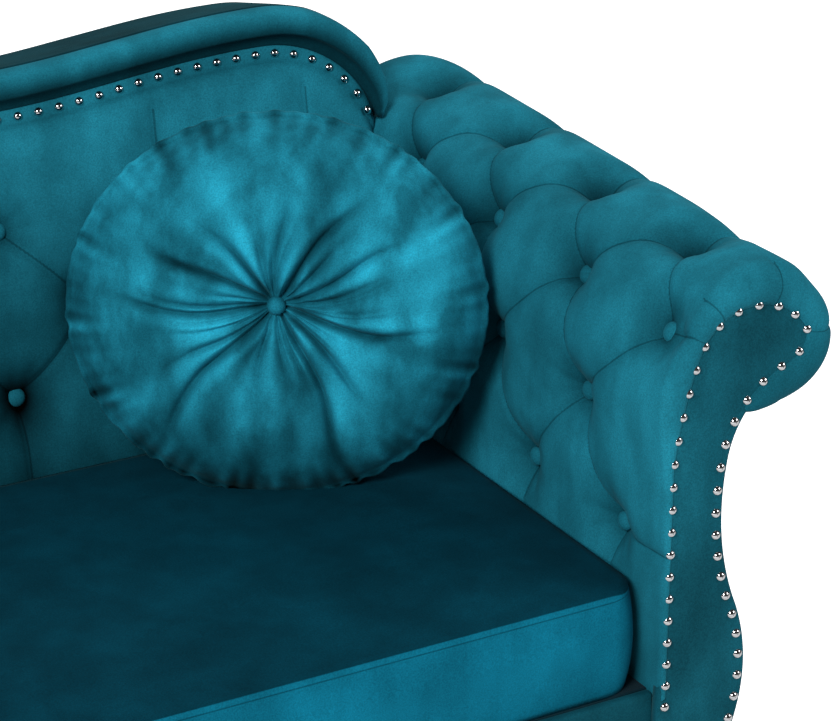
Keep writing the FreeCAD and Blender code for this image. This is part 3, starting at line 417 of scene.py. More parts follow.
def moulded(name, tone):
    """Moulded plastic with a fine texture."""
    made, tree, shader = new_finish(name)
    grain = speckle(tree, scale=900, detail=2)
    tree.links.new(toned(tree, grain, shaded(tone, 0.85), shaded(tone, 1.15)), shader.inputs["Base Color"])
    tree.links.new(ranged(tree, grain, 0.45, 0.6), shader.inputs["Roughness"])
    return made


FINISHES = {
    "velvet": lambda tones: pile("velvet", tones.velvet, sheen=0.08),
    "seat_velvet": lambda tones: pile("seat_velvet", tones.seat_velvet, sheen=0.03, contrast=0.22, crush=0.10,
                                      boxed=True),
    "pillow_velvet": lambda tones: pile("pillow_velvet", tones.pillow_velvet, sheen=0.10, contrast=0.36,
                                        crush=0.36),
    "nail_metal": lambda tones: metal("nail_metal", tones.chrome, rough=0.03),
    "steel": lambda tones: metal("steel", tones.steel, rough=0.34),
    "leg_wood": lambda tones: timber("leg_wood", tones.leg_wood, gloss=0.5, grain=(1, 1, 0.08)),
    "frame_wood": lambda tones: timber("frame_wood", tones.frame_wood, gloss=0.0, grain=(0.08, 1, 1)),
    "deck_cloth": lambda tones: weave("deck_cloth", tones.felt, pitch=0.0011),
    "lining": lambda tones: weave("lining", tones.lining, pitch=0.0009),
    "filling": lambda tones: weave("filling", tones.filling, pitch=0.0016),
    "glide_plastic": lambda tones: moulded("glide_plastic", tones.glide),
}


def finish(slot):
    """The material of one of the record's slots, made once."""
    return bpy.data.materials.get(f"sofa_{slot}") or FINISHES[slot](settings().colours)


# Mesh helpers: vertices closer than this are one
SAME_SPOT = 1e-5


def eased(values):
    """Shares from 0 to 1, eased in and out."""
    share = np.clip(values, 0, 1)
    return share * share * (3 - 2 * share)


def unit_grid(columns, rows):
    """A flat grid from 0, 0 to 1, 1."""
    bm = bmesh.new()
    bmesh.ops.create_grid(bm, x_segments=columns, y_segments=rows, size=0.5)
    bmesh.ops.translate(bm, verts=bm.verts, vec=(0.5, 0.5, 0))
    return bm


def form_grid(bm, form):
    """Moves each vertex of a grid to the place that a form gives for its two shares, with its painted shade.
    """
    flat = np.array([vert.co[:] for vert in bm.verts])
    spots, *painted_shading = form(flat[:, 0], flat[:, 1])
    lay_painted_shade(bm, *painted_shading)
    for vert, spot in zip(bm.verts, spots):
        vert.co = spot


def lay_painted_shade(bm, painted_shade, fold=0, near=0):
    """Keeps each vertex's painted shading: its painted shade lightens the velvet over 0 and darkens it under
    0, and fold changes sign across a pleat.
    """
    layer = bm.verts.layers.float_vector.new("painted_shading")
    columns = [np.broadcast_to(part, len(bm.verts)) for part in (painted_shade, fold, near)]
    for vert, painted_shading in zip(bm.verts, np.column_stack(columns)):
        vert[layer] = painted_shading


def verts_of(geom):
    """The vertices among what a bmesh operator gives back."""
    return [item for item in geom if isinstance(item, bmesh.types.BMVert)]


def close(bm):
    """Merges seams and poles, and fills open ends."""
    bmesh.ops.remove_doubles(bm, verts=bm.verts, dist=SAME_SPOT)
    bmesh.ops.holes_fill(bm, edges=[edge for edge in bm.edges if edge.is_boundary], sides=0)


def piece(name, bm, body, slot, *nodes):
    """Makes a bmesh a finished piece that rides on a body and stands for CAD nodes."""
    bmesh.ops.recalc_face_normals(bm, faces=bm.faces)
    mesh = bpy.data.meshes.new(name)
    bm.to_mesh(mesh)
    bm.free()
    mesh.shade_smooth()
    made = bpy.data.objects.new(name, mesh)
    bpy.context.scene.collection.objects.link(made)
    mesh.materials.append(finish(slot))
    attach(made, body)
    if nodes:
        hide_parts(*nodes)
    return made


def bowed(start, end, bow, count):
    """Points from a start up to an end, standing off to the left of the run by a bow at the middle."""
    share = np.linspace(0, 1, count, endpoint=False)[:, None]
    start, end = np.array(start), np.array(end)
    run = (end - start) / np.linalg.norm(end - start)
    return start + (end - start) * share + np.array((-run[1], run[0])) * bow * 4 * share * (1 - share)


def lengths(points):
    """Length along a chain of points, from its start to each of them."""
    return np.concatenate([[0], np.cumsum(np.linalg.norm(np.diff(points, axis=0), axis=1))])


def spaced(points, step):
    """A chain of points set out evenly, about a step apart."""
    run = lengths(points)
    even = np.linspace(0, run[-1], max(3, int(round(run[-1] / step)) + 1))
    return np.column_stack([np.interp(even, run, points[:, axis]) for axis in range(points.shape[1])])


def sideways(points):
    """Unit vectors to the left of a chain of flat points."""
    run = np.gradient(points, axis=0)
    run /= np.linalg.norm(run, axis=1)[:, None]
    return np.column_stack([-run[:, 1], run[:, 0]])


def heads(node):
    """The middle of each button or nail in a CAD node."""
    left = np.array([vert.co[:] for vert in frame["nodes"][node].data.vertices])
    apart = 0.03  # from one vertex of a button to any of the next button
    middles = []
    while len(left):
        near = np.linalg.norm(left - left[0], axis=1) < apart
        middles.append(left[near].mean(axis=0))
        left = left[~near]
    return np.array(middles)


# A covered button: its height over its radius, its painted shade, which darkens it as it sits in a well, and
# its seat in a well over its radius
BUTTON_DOME, BUTTON_SHADE, BUTTON_SEAT = 0.62, -0.15, 0.7


def covered_buttons(spots, outwards, stitching):
    """Covered buttons: low domes sunk into their wells, or standing out a little close to the facing."""
    bm = bmesh.new()
    for spot, outward in zip(spots, outwards):
        way = Vector(outward).normalized()
        turn = way.to_track_quat("Z", "Y").to_matrix().to_4x4()
        sink = stitching.button_sink + stitching.roll_sink * max(0, way.z)
        if spot[1] < FACING_BACK + FRONT_REACH:
            sink = -stitching.button / 3
        place = Matrix.Translation(Vector(spot) - way * sink) @ turn
        dome = Matrix.Diagonal((1, 1, BUTTON_DOME, 1))
        bmesh.ops.create_uvsphere(bm, u_segments=20, v_segments=12, radius=stitching.button,
                                  matrix=place @ dome)
    # Painted shade: the buttons are darkened
    lay_painted_shade(bm, BUTTON_SHADE)
    return bm


def rows_of(buttons, apart):
    """Buttons on a flat pattern, gathered into rows by their first coordinate."""
    ordered = buttons[np.argsort(buttons[:, 0])]
    breaks = np.where(np.diff(ordered[:, 0]) > apart)[0] + 1
    return np.split(ordered, breaks)


def crossings(rows, reach):
    """The slanting pleats between buttons of neighbouring rows that lie within reach of each other."""
    return [(low, high) for lower, upper in zip(rows, rows[1:]) for low in lower for high in upper
            if abs(low[1] - high[1]) < reach]


# How softly pleats blend, how far a pleat's overlap reaches, and how a well sharpens towards its button
PLEAT_SOFT, OVERLAP_REACH, WELL_SHARPNESS = 0.0015, 0.014, 2.1
# Puckers round a button: their number, the turn from one button to the next, and their depth over a crease's
PUCKERS, PUCKER_TURN, PUCKER_DEPTH = 9, 2.4, 1.6
# Painted light and shade of buttoned velvet: painted shade along the pleats and for each metre of a well's
# depth, and painted light on the lobes
PLEAT_SHADE, WELL_SHADE, LOBE_PAINTED_LIGHT = -0.20, -22, 0.10


def sewn(points, buttons, wells, pleats, stitching):
    """How far buttons and pleats pull a cover in, its painted shade, its folds and how near they are."""
    near = np.zeros(len(points))
    crease = np.zeros(len(points))
    fold = np.zeros(len(points))
    nearest = np.zeros(len(points))
    for start, end in pleats:
        run = end - start
        share = np.clip((points - start) @ run / (run @ run), 0, 1)
        off = points - start - share[:, None] * run
        distance = np.hypot(off[:, 0], off[:, 1])
        upright = abs(run[0]) > 3 * abs(run[1])
        over = off[:, 1] > 0 if upright else off[:, 0] > 0
        near += (distance + PLEAT_SOFT) ** -4
        crease = np.maximum(crease, np.exp(-(distance / stitching.crease_width) ** 2))
        close_by = np.exp(-distance / OVERLAP_REACH)
        across = np.where(over, -1, 1) * distance / (distance + stitching.crease_width)
        fold = np.where(close_by > nearest, across, fold)
        nearest = np.maximum(nearest, close_by)
    lobe = 1 - np.clip(near ** -0.25 / stitching.lobe_reach, 0, 1)
    well = np.zeros(len(points))
    sunk = np.zeros(len(points))
    pucker = np.zeros(len(points))
    for index, (button, deep) in enumerate(zip(buttons, wells)):
        off = points - button
        distance = np.hypot(off[:, 0], off[:, 1])
        hollow = 1 - np.clip((distance - BUTTON_SEAT * stitching.button) / stitching.well_radius, 0, 1)
        well = np.maximum(well, hollow)
        sunk = np.maximum(sunk, deep * hollow ** WELL_SHARPNESS)
        around = np.arctan2(off[:, 1], off[:, 0])
        pucker += hollow ** 2 * (1 - hollow) * np.cos(PUCKERS * around + index * PUCKER_TURN)
    depth = stitching.pleat_depth * lobe ** 2 + stitching.crease_depth * crease * (1 + well)
    depth += sunk + stitching.overlap * fold * nearest * (1 - well)
    # Painted shade in the pleats and wells, painted light on the lobes
    painted_shade = PLEAT_SHADE * lobe ** 2 + WELL_SHADE * sunk + LOBE_PAINTED_LIGHT
    return depth + stitching.crease_depth * PUCKER_DEPTH * pucker, painted_shade, fold, nearest


# Where an arm's cover ends under its roll, down from the sofa's outside
ROLL_END = radians(105)


class ArmForm:
    """The plain outside of the right arm: an outline from the deck over the roll, carried along the arm."""

    def __init__(self, sizes, step):
        self.sizes = sizes
        roll = sizes.roll_radius
        self.roll_x = ARM_OUTER - roll
        self.roll_z = sizes.top - roll
        self.lean_x = ARM_INNER + sizes.lean
        straight = (ARM_INNER, sizes.straight)
        shoulder = (self.lean_x, self.roll_z)
        over = np.linspace(pi / 2, -ROLL_END, 90)
        seen = np.concatenate([
            bowed((ARM_INNER, DECK_BOTTOM), straight, 0, 60),
            bowed(straight, shoulder, sizes.lean / 4, 40),
            bowed(shoulder, (self.roll_x, sizes.top), (self.roll_x - self.lean_x) * sizes.shoulder, 60),
            np.column_stack([self.roll_x + roll * np.cos(over), self.roll_z + roll * np.sin(over)]),
        ])
        self.seen = spaced(seen, step)
        self.run = lengths(self.seen)
        inside = ARM_INNER + sizes.pad
        tuck = self.seen[-1]
        hidden = np.array([tuck, (inside, tuck[1]), (inside, DECK_BOTTOM), (ARM_INNER, DECK_BOTTOM)])
        self.hidden = spaced(hidden, 0.02)[1:]

    def lift(self, y):
        """How far the roll has risen at a place along the arm."""
        return self.sizes.rise * (y - FACING_BACK) / (PANEL - FACING_BACK)

    def raised(self, z, y):
        """Heights of the outline with the roll's rise at y."""
        return z + self.lift(y) * np.clip((z - DECK_BOTTOM) / (self.sizes.straight - DECK_BOTTOM), 0, 1)

    def flat(self, spot):
        """Where a place by the arm lies on the cover laid flat: up the outline and along the arm."""
        x, y, z = spot
        away = np.hypot(self.seen[:, 0] - x, self.raised(self.seen[:, 1], y) - z)
        return np.array((self.run[away.argmin()], y))

    def outward(self, spot):
        """The way out of the padding at a place by the arm."""
        up, y = self.flat(spot)
        left = sideways(self.seen)[np.abs(self.run - up).argmin()]
        return left[0], 0, left[1]

    def inner_x(self, z, y):
        """The arm's inside face at a height, for what runs up against it."""
        top = self.seen[:, 1].argmax()
        return np.interp(z - self.lift(y), self.seen[:top, 1], self.seen[:top, 0])


def facing_outline():
    """The scroll-topped, waisted outline of the right arm's front, up its inside edge first."""
    arm = settings().arm
    form = ArmForm(arm, 0.01)
    edge = ARM_INNER - arm.facing_edge
    neck, belly, foot = edge + arm.neck, edge + arm.belly, edge + arm.foot
    half = (arm.neck_height - arm.belly_height) / 2
    flare, waist, hip = neck + arm.flare, (neck + belly) / 2, (belly + foot) / 2 + arm.hip
    scroll, shoulder = arm.scroll, form.lean_x + arm.scroll_shoulder
    points = [
        ((edge, arm.facing_low), 0),
        ((edge, arm.straight), arm.lean / 4),
        ((shoulder, form.roll_z), (form.roll_x - shoulder) * arm.scroll_bow),
        ((form.roll_x - scroll / 2, form.roll_z + scroll), scroll / 4),
        ((form.roll_x + scroll, form.roll_z + scroll / 6), scroll / 5),
        ((form.roll_x + scroll / 3, form.roll_z - scroll * 2 / 3), -scroll * 2 / 7),
        ((flare, arm.neck_height + half), neck - (flare + waist) / 2),
        ((waist, arm.neck_height - half), belly - (waist + hip) / 2),
        ((hip, arm.belly_height - half), 0),
        ((foot, arm.facing_low), 0),
    ]
    ends = [end for end, bow in points[1:] + points[:1]]
    return np.concatenate([bowed(start, end, bow, FACING_RUN) for (start, bow), end in zip(points, ends)])


def nail_edge(form):
    """Where the cover ends under the facing's nails, for each point of an arm's outline."""
    upper = spaced(facing_outline()[:6 * FACING_RUN + 1], 0.001)
    nails = upper - sideways(upper) * form.sizes.nail_inset
    nearest = [np.hypot(*(nails - spot).T).argmin() for spot in form.seen]
    along = np.maximum.accumulate(nearest).astype(float)
    window = 15  # points that are averaged
    padded = np.pad(along, window // 2, mode="edge")
    along = np.convolve(padded, np.ones(window) / window, mode="valid")
    return np.column_stack([np.interp(along, np.arange(len(nails)), nails[:, axis]) for axis in (0, 1)])


# Gathers of the cover round the front of the roll: degrees up from the sofa's outside
ROLL_GATHERS = (130, 82, 2, -72)
# The roll's upper front, which slopes to the nails: its middle and spread in the same degrees
SLOPE_MIDDLE, SLOPE_SPREAD = 42, 28
# The roll's underside, darkened with painted shade: where it starts and how far it comes in, in the same
# degrees, and how much painted shade it gets
UNDER_START, UNDER_RUN, UNDER_SHADE = 20, 60, -0.40
# Buttons further apart than this, up a cover, are in different rows
ROW_GAP = 0.04
# Faces round the front edge of an arm's cover, and how round that edge is
FRONT_RING, EDGE_ROUND = 18, 0.8
# Most depth of wells over the scroll board, and what the roll's padding adds to it
BOARD_DEPTH, ROLL_BOARD_DEPTH = 0.006, 0.012
# Length of the roll's fuller front and of its rounded end at the back
ROLL_END_RUN = 0.085


def arm_cover(side):
    """The buttoned cover of an arm: up from the seat, over the roll and round its front to the nails."""
    arm, stitching = settings().arm, settings().stitching
    form = ArmForm(arm, stitching.step)
    spots = heads("arm_buttons_right")
    buttons = np.array([form.flat(spot) for spot in spots])
    wells = [stitching.well_depth + stitching.roll_sink * max(0, form.outward(spot)[2]) for spot in spots]
    rows = rows_of(buttons, ROW_GAP)
    pleats = crossings(rows, 0.78 * stitching.arm_pitch)
    seat = CUSHION_LOW + (settings().back.seat - CUSHION_LOW) * 0.9 - DECK_BOTTOM
    pleats += [(button, np.array((seat, button[1]))) for button in rows[0]]
    pleats += [(button, np.array((form.run[-1] - 0.05, button[1]))) for button in rows[-1]]
    front = FACE - 0.0006
    for row in (rows[0], rows[2]):
        pleats.append((row[row[:, 1].argmin()], np.array((row[0, 0] + 0.010, front))))
    way_out = np.degrees(np.arctan2(*sideways(form.seen).T[::-1]))
    for angle in ROLL_GATHERS:
        up = form.run[np.abs(way_out - angle).argmin()]
        pleats.append((np.array((up, front + 0.016)), np.array((up + 0.003, front - 0.01))))
    behind = FACING_BACK + 0.002
    count, unseen = len(form.seen), len(form.hidden)
    outline = np.concatenate([form.seen, form.hidden])
    edge = np.concatenate([nail_edge(form), form.hidden])
    reach = np.linalg.norm(outline - edge, axis=1)
    left = sideways(outline)
    leaning = form.run[form.seen[:, 0] > ARM_INNER][0]
    tucked = eased((form.run[-1] - form.run) / 0.12)
    low_rise = 0.002  # of the lobes under the roll

    def carried(values, rest=0):
        """Values up the seen outline, with one value for all of its hidden part."""
        return np.concatenate([values, np.full(unseen, rest)])

    kinds = {
        "x": outline[:, 0], "z": outline[:, 1], "left_x": left[:, 0], "left_z": left[:, 1],
        "edge_x": edge[:, 0], "edge_z": edge[:, 1], "reach": reach,
        "lean": carried(np.exp(-((way_out - SLOPE_MIDDLE) / SLOPE_SPREAD) ** 2)),
        "under": carried(eased((UNDER_START - way_out) / UNDER_RUN) * (form.run > leaning)),
        "deep": np.clip(0.8 * reach, 0.008, arm.turn_in),
        "up": carried(form.run, form.run[-1]),
        "seen": carried(np.ones(count)),
        "shown": carried(eased((form.run - seat + 0.02) / 0.03) * tucked),
        "rolled": carried(eased((form.run - leaning + 0.02) / 0.09) * tucked),
    }
    level, ring = int((PANEL - FACE) / stitching.step), FRONT_RING

    def place(u, v):
        along = u * (len(outline) - 1)
        at = {name: np.interp(along, np.arange(len(outline)), values) for name, values in kinds.items()}
        row = v * (level + ring + 1)
        turn = np.clip((row - level) / ring, 0, 1) * pi / 2
        start = front + at["deep"]
        inward, forward = np.cos(turn) ** EDGE_ROUND, np.sin(turn) ** EDGE_ROUND
        plump = np.clip(at["reach"] / 0.03, 0, 1)
        y = PANEL - np.clip(row / level, 0, 1) * (PANEL - start) - at["deep"] * forward
        y -= 0.006 * plump * np.sin(pi * (1 - inward))
        pull, painted_shade, fold, near = sewn(np.column_stack([at["up"], y]), buttons, wells, pleats, stitching)
        near_front = eased((FACING_BACK + FRONT_REACH - y) / 0.05)
        over_board = BOARD_DEPTH + ROLL_BOARD_DEPTH * at["rolled"]
        pull = pull * (1 - near_front) + np.minimum(pull, over_board) * near_front
        rise = low_rise + (stitching.lobe_rise - low_rise) * at["rolled"]
        puff = arm.puff * at["rolled"] * eased((FACE + ROLL_END_RUN - y) / ROLL_END_RUN)
        rear = np.clip((y - PANEL) / ROLL_END_RUN + 1, 0, 1)
        rounded = arm.rear_round * (1 - np.sqrt(1 - rear ** 2))
        sloped = 1 - 0.85 * at["lean"] * eased((FACE + 0.22 - y) / 0.12)
        out = (rise * sloped - pull) * at["shown"] + puff * sloped - rounded * at["rolled"]
        z = form.raised(at["z"], y)
        x, z = at["x"] + at["left_x"] * out, z + at["left_z"] * out
        x = at["edge_x"] + (x - at["edge_x"]) * inward
        z = at["edge_z"] + (z - at["edge_z"]) * inward
        y = np.where((row > level + ring + 0.5) | (at["seen"] < 0.999), np.maximum(y, behind), y)
        # Painted shade from the pleats and wells, and painted shade on the roll's underside
        painted_shade = painted_shade * inward * at["shown"] + UNDER_SHADE * at["under"]
        return np.column_stack([side * x, y, z]), painted_shade, fold, near * at["shown"]

    bm = unit_grid(len(outline) - 1, level + ring + 1)
    form_grid(bm, place)
    close(bm)
    return bm


class BackForm:
    """The plain front of the back: across the sofa, into the pad and up its lean."""

    def __init__(self, sizes):
        self.sizes = sizes

    def world(self, x, into, up):
        """A place on the back in the sofa's own frame."""
        lean = self.sizes.rake
        y = self.sizes.foot + into * cos(lean) + up * sin(lean)
        return np.column_stack([x, y, self.sizes.seat + up * cos(lean) - into * sin(lean)])

    def flat(self, spot):
        """Where a place by the back lies on the cover laid flat: up the lean and across."""
        x, y, z = spot
        lean = self.sizes.rake
        return np.array(((y - self.sizes.foot) * sin(lean) + (z - self.sizes.seat) * cos(lean), x))

    def top(self, x):
        """Height of the serpentine top edge, turned down at the shoulders."""
        sizes = self.sizes
        swing = sizes.crest - sizes.wave / 2 * (1 - np.cos(2 * pi * x / sizes.spacing))
        past = np.clip(np.abs(x) - sizes.spacing, 0, sizes.shoulder)
        turned = sizes.crest - sizes.shoulder + np.sqrt(sizes.shoulder ** 2 - past ** 2)
        return np.where(past > 0, turned, swing)

    def top_path(self, step):
        """The top edge as a chain of points, from the left arm to the right one."""
        sizes = self.sizes
        turn = np.linspace(sizes.turn, 0, 60)[:-1]
        ends = np.column_stack([-sizes.spacing - sizes.shoulder * np.sin(turn),
                                sizes.crest - sizes.shoulder * (1 - np.cos(turn))])
        x = np.linspace(-sizes.spacing, sizes.spacing, 500)
        waves = np.column_stack([x, self.top(x)])
        return spaced(np.concatenate([ends, waves, ends[::-1] * (-1, 1)]), step)


# Painted shade of the back up its lean, darkest by the seat: lengths up from the seat, and shares of the
# velvet's tone
BACK_LEVELS, BACK_SHADES = (0, 0.10, 0.28, 0.42), (-0.55, -0.26, 0.02, 0.16)
# Painted shade of the tape under the nails, depth of the step under it, and depth and width of the crease by
# the arm
TAPE_SHADE, TAPE_STEP, ARM_CREASE = -0.25, 0.003, 0.012


def back_cover():
    """The buttoned inside back, with a flat tape for the nails along its top."""
    sizes, stitching = settings().back, settings().stitching
    form = BackForm(sizes)
    arm = ArmForm(settings().arm, stitching.step)
    buttons = np.array([form.flat(spot) for spot in heads("back_buttons")])
    wells = [stitching.back_well_depth] * len(buttons)
    rows = rows_of(buttons, ROW_GAP)
    pleats = crossings(rows, 0.75 * stitching.back_pitch)
    pleats += [(button, np.array((-0.02, button[1]))) for button in rows[0]]
    for button in rows[-1]:
        tape = float(form.top(button[1])) - sizes.tape
        pleats.append((button, np.array((tape, button[1]))))
    low = (DECK_TOP - sizes.seat) / cos(sizes.rake)
    tuck, rise = 0.006, 0.003  # behind the arm, and of the lobes over the plain padding

    def place(u, v):
        across = 2 * u - 1
        up = low + v * (form.top(across * ARM_INNER) - low)
        spot = form.world(across, 0, up)
        x = across * np.minimum(arm.inner_x(spot[:, 2], spot[:, 1]) + tuck, sizes.half)
        up = low + v * (form.top(x) - low)
        pull, painted_shade, fold, near = sewn(np.column_stack([up, x]), buttons, wells, pleats, stitching)
        below = form.top(x) - up - sizes.tape
        puffed = eased(below / 0.03)
        step = TAPE_STEP * eased((below + TAPE_STEP) / 0.004) * (1 - eased(below / 0.02))
        side = ARM_CREASE * np.exp(-(1 - np.abs(across)) * ARM_INNER / ARM_CREASE)
        into = (pull - rise) * puffed * eased((up - low) / 0.06) + step + side
        # Painted light towards the top of the back and painted shade lower down
        patches_and_painted_light = 0.30 * eased((up - 0.20) / 0.24) - 0.22
        shade = patches_and_painted_light + np.interp(up, BACK_LEVELS, BACK_SHADES) + TAPE_SHADE * (1 - puffed)
        return form.world(x, into, up), painted_shade * puffed + shade, fold, near * puffed

    bm = unit_grid(int(2 * ARM_INNER / 0.004), int((sizes.crest - low) / 0.0038))
    form_grid(bm, place)
    rim = [edge for edge in bm.edges if edge.is_boundary]
    behind = bmesh.ops.extrude_edge_only(bm, edges=rim)["geom"]
    into = Vector((0, cos(sizes.rake), -sin(sizes.rake))) * sizes.pad
    bmesh.ops.translate(bm, verts=verts_of(behind), vec=into)
    close(bm)
    return bm


# How the border narrows as it turns down to the arm: degrees turned, and shares of its height
BORDER_TURNS, BORDER_TAPER = (18, 45, 60, 68, 72), (1, 0.85, 0.62, 0.36, 0.06)
# Painted shade of the border's front up its height, darkest in the cove under its roll, and painted shade on
# its top
BORDER_LEVELS, BORDER_SHADES = (0, 0.38, 0.62, 0.85, 1), (-0.78, -0.66, -0.20, 0.03, 0)
BORDER_TOP_SHADE = -0.80


def back_border():
    """The rolled border: a cove, a roll, a seam and a flat top, carried along the top of the back."""
    sizes = settings().back
    form = BackForm(sizes)
    path = form.top_path(0.006)
    up_from = sideways(path)
    front, high = -sizes.overhang, sizes.border
    seam = 0.0016
    cove = bowed((0, 0), (front, sizes.cove), -sizes.cove * 0.4, 10)
    roll = bowed((front, sizes.cove), (0, high), sizes.cove * 1.08, 26)
    band = np.array([(0.001, high), (0.0025, high - seam), (0.004, high + seam / 2), (0.03, high),
                     (0.06, high - seam), (sizes.pad * 2.1, high - 4 * seam), (sizes.pad * 2.1, 0), (0, 0)])
    section = spaced(np.concatenate([cove, roll, band]), 0.0024)
    turned = np.degrees(np.abs(np.arctan2(up_from[:, 0], up_from[:, 1])))
    past = np.abs(path[:, 0]) > sizes.spacing
    taper = np.where(past, np.interp(turned, BORDER_TURNS, BORDER_TAPER), 1)
    # Painted shade: dark in the cove under the roll and on the top
    shade = np.interp(section[:, 1] / high, BORDER_LEVELS, BORDER_SHADES)
    shade = np.where(section[:, 0] > 0.0005, BORDER_TOP_SHADE, shade)

    def place(u, v):
        along, around = u * (len(path) - 1), v * (len(section) - 1)
        spots, turns = np.arange(len(path)), np.arange(len(section))
        into, over = (np.interp(around, turns, section[:, axis]) for axis in (0, 1))
        narrow = np.interp(along, spots, taper)
        over = over * narrow
        into = np.where(into < 0, into * narrow, into)
        x = np.interp(along, spots, path[:, 0]) + np.interp(along, spots, up_from[:, 0]) * over
        up = np.interp(along, spots, path[:, 1]) + np.interp(along, spots, up_from[:, 1]) * over
        placed = form.world(x, into, up)
        placed[:, 1] = np.minimum(placed[:, 1], OUTSIDE_BACK)
        return placed, np.interp(around, turns, shade)

    bm = unit_grid(len(path) - 1, len(section) - 1)
    form_grid(bm, place)
    close(bm)
    return bm


# Painted shade on the plain covers: facings, the sofa's outside, and the strip in front of the seat
FACING_SHADE, OUTSIDE_SHADE, RAIL_SHADE = -0.45, -0.12, -0.58


def arm_front(side):
    """A covered facing: a board of the scroll's outline with a soft edge, in behind the arm's cover."""
    outline = facing_outline()
    upper = 1 - eased((np.arange(len(outline)) / FACING_RUN - 4.4) / 0.8)
    tucked = 0.006 * upper * eased((outline[:, 1] - DECK_BOTTOM) / 0.04)
    outline = outline - sideways(outline) * tucked[:, None]
    bm = bmesh.new()
    rim = [bm.verts.new((side * x, FACING_BACK, z)) for x, z in outline]
    back = bm.faces.new(rim)
    front = bmesh.ops.extrude_face_region(bm, geom=[back], use_keep_orig=True)["geom"]
    bmesh.ops.translate(bm, verts=verts_of(front), vec=(0, FACE - FACING_BACK, 0))
    edges = [edge for edge in bm.edges if all(vert.co.y < FACING_BACK - 0.001 for vert in edge.verts)]
    bmesh.ops.bevel(bm, geom=edges, offset=0.0035, segments=4, profile=0.5, affect="EDGES", material=-1)
    close(bm)
    # Painted shade: the facing is darkened
    lay_painted_shade(bm, FACING_SHADE)
    return bm


def arm_side(side):
    """The outside of an arm under its roll: the facing's waist carried back, a little full."""
    arm = settings().arm
    form = ArmForm(arm, 0.01)
    run = spaced(facing_outline()[5 * FACING_RUN + FACING_RUN // 2:9 * FACING_RUN + 1], 0.012)
    under = run[0, 1]
    inset, thick, full = 0.002, 0.008, 0.005
    back = spaced(run[::-1] - (thick, 0), 0.03)
    outline = np.concatenate([run, back, run[:1]])

    def place(u, v):
        along = u * (len(outline) - 1)
        x, z = (np.interp(along, np.arange(len(outline)), outline[:, axis]) for axis in (0, 1))
        up = np.clip((z - arm.facing_low) / (under - arm.facing_low), 0, 1)
        y = FACING_BACK + v * (PANEL - FACING_BACK)
        outer = along < len(run) - 0.5
        swell = full * np.sqrt(np.clip(np.sin(pi * v), 0, 1) * np.clip(np.sin(pi * up), 0, 1)) * outer
        x = side * (x - inset - full * 0.6 + swell)
        # Painted shade: the outside of the arm is darkened
        return np.column_stack([x, y, form.raised(z, y)]), OUTSIDE_SHADE

    bm = unit_grid(len(outline) - 1, 60)
    form_grid(bm, place)
    close(bm)
    return bm


def outside_back():
    """The outside back: the frame's panel, taken in where the arms' rolls are rounded at their ends."""
    arm = settings().arm
    form = ArmForm(arm, 0.01)
    bm = bmesh.new()
    bm.from_mesh(frame["nodes"]["back_outer_panel"].data)
    bmesh.ops.remove_doubles(bm, verts=bm.verts, dist=SAME_SPOT)
    middle = np.array((form.roll_x, form.roll_z + arm.rise))
    for vert in bm.verts:
        off = np.array((abs(vert.co.x), vert.co.z)) - middle
        far = np.hypot(*off)
        if far > arm.roll_radius * 0.9 and off[0] > -0.02 and far < arm.roll_radius * 1.3:
            under = ROLL_END + np.arctan2(off[1], off[0])
            spot = middle + off * (1 - arm.rear_round * eased(under * arm.roll_radius / 0.12) / far)
            vert.co.x = spot[0] * (1 if vert.co.x > 0 else -1)
            vert.co.z = spot[1]
        elif abs(vert.co.x) > ARM_INNER + 0.05 and off[1] > 0:
            vert.co.z -= arm.rear_round
    # Painted shade: the outside back is darkened
    lay_painted_shade(bm, OUTSIDE_SHADE)
    return bm


def padded_box(low, high, edge, step):
    """A box with rounded edges and enough faces to take a soft form."""
    bm = bmesh.new()
    bmesh.ops.create_cube(bm, size=1)
    span = high - low
    bmesh.ops.scale(bm, verts=bm.verts, vec=span)
    bmesh.ops.translate(bm, verts=bm.verts, vec=(low + high) / 2)
    bmesh.ops.bevel(bm, geom=bm.edges[:], offset=edge, segments=4, profile=0.5, affect="EDGES", material=-1)
    for axis in range(3):
        for count in range(1, int(span[axis] / step)):
            cut = low[axis] + span[axis] * count / int(span[axis] / step)
            normal = [0, 0, 0]
            normal[axis] = 1
            spot = [0, 0, 0]
            spot[axis] = cut
            bmesh.ops.bisect_plane(bm, geom=bm.verts[:] + bm.edges[:] + bm.faces[:], plane_co=spot,
                                   plane_no=normal)
    return bm


def rail_front():
    """The padded strip under the seat, a little full along its middle."""
    low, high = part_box("front_rail_cover")
    bm = padded_box(low, high, 0.004, 0.02)
    middle, half, full = (low.z + high.z) / 2, (high.z - low.z) / 2, 0.003
    for vert in bm.verts:
        if vert.co.y < (low.y + high.y) / 2:
            vert.co.y -= full * (1 - ((vert.co.z - middle) / half) ** 2)
    # Painted shade: the strip under the seat is darkened
    lay_painted_shade(bm, RAIL_SHADE)
    return bm


def seat_deck():
    """The felt deck over the springs, sagging a little between the rails."""
    low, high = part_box("deck_pad")
    bm = padded_box(low, high, 0.002, 0.06)
    half = (high - low) / 2
    middle = (low + high) / 2
    sag = 0.0015
    for vert in bm.verts:
        inner = (1 - ((vert.co.x - middle.x) / half.x) ** 4) * (1 - ((vert.co.y - middle.y) / half.y) ** 2)
        if vert.co.z > middle.z:
            vert.co.z -= sag * inner
    return bm


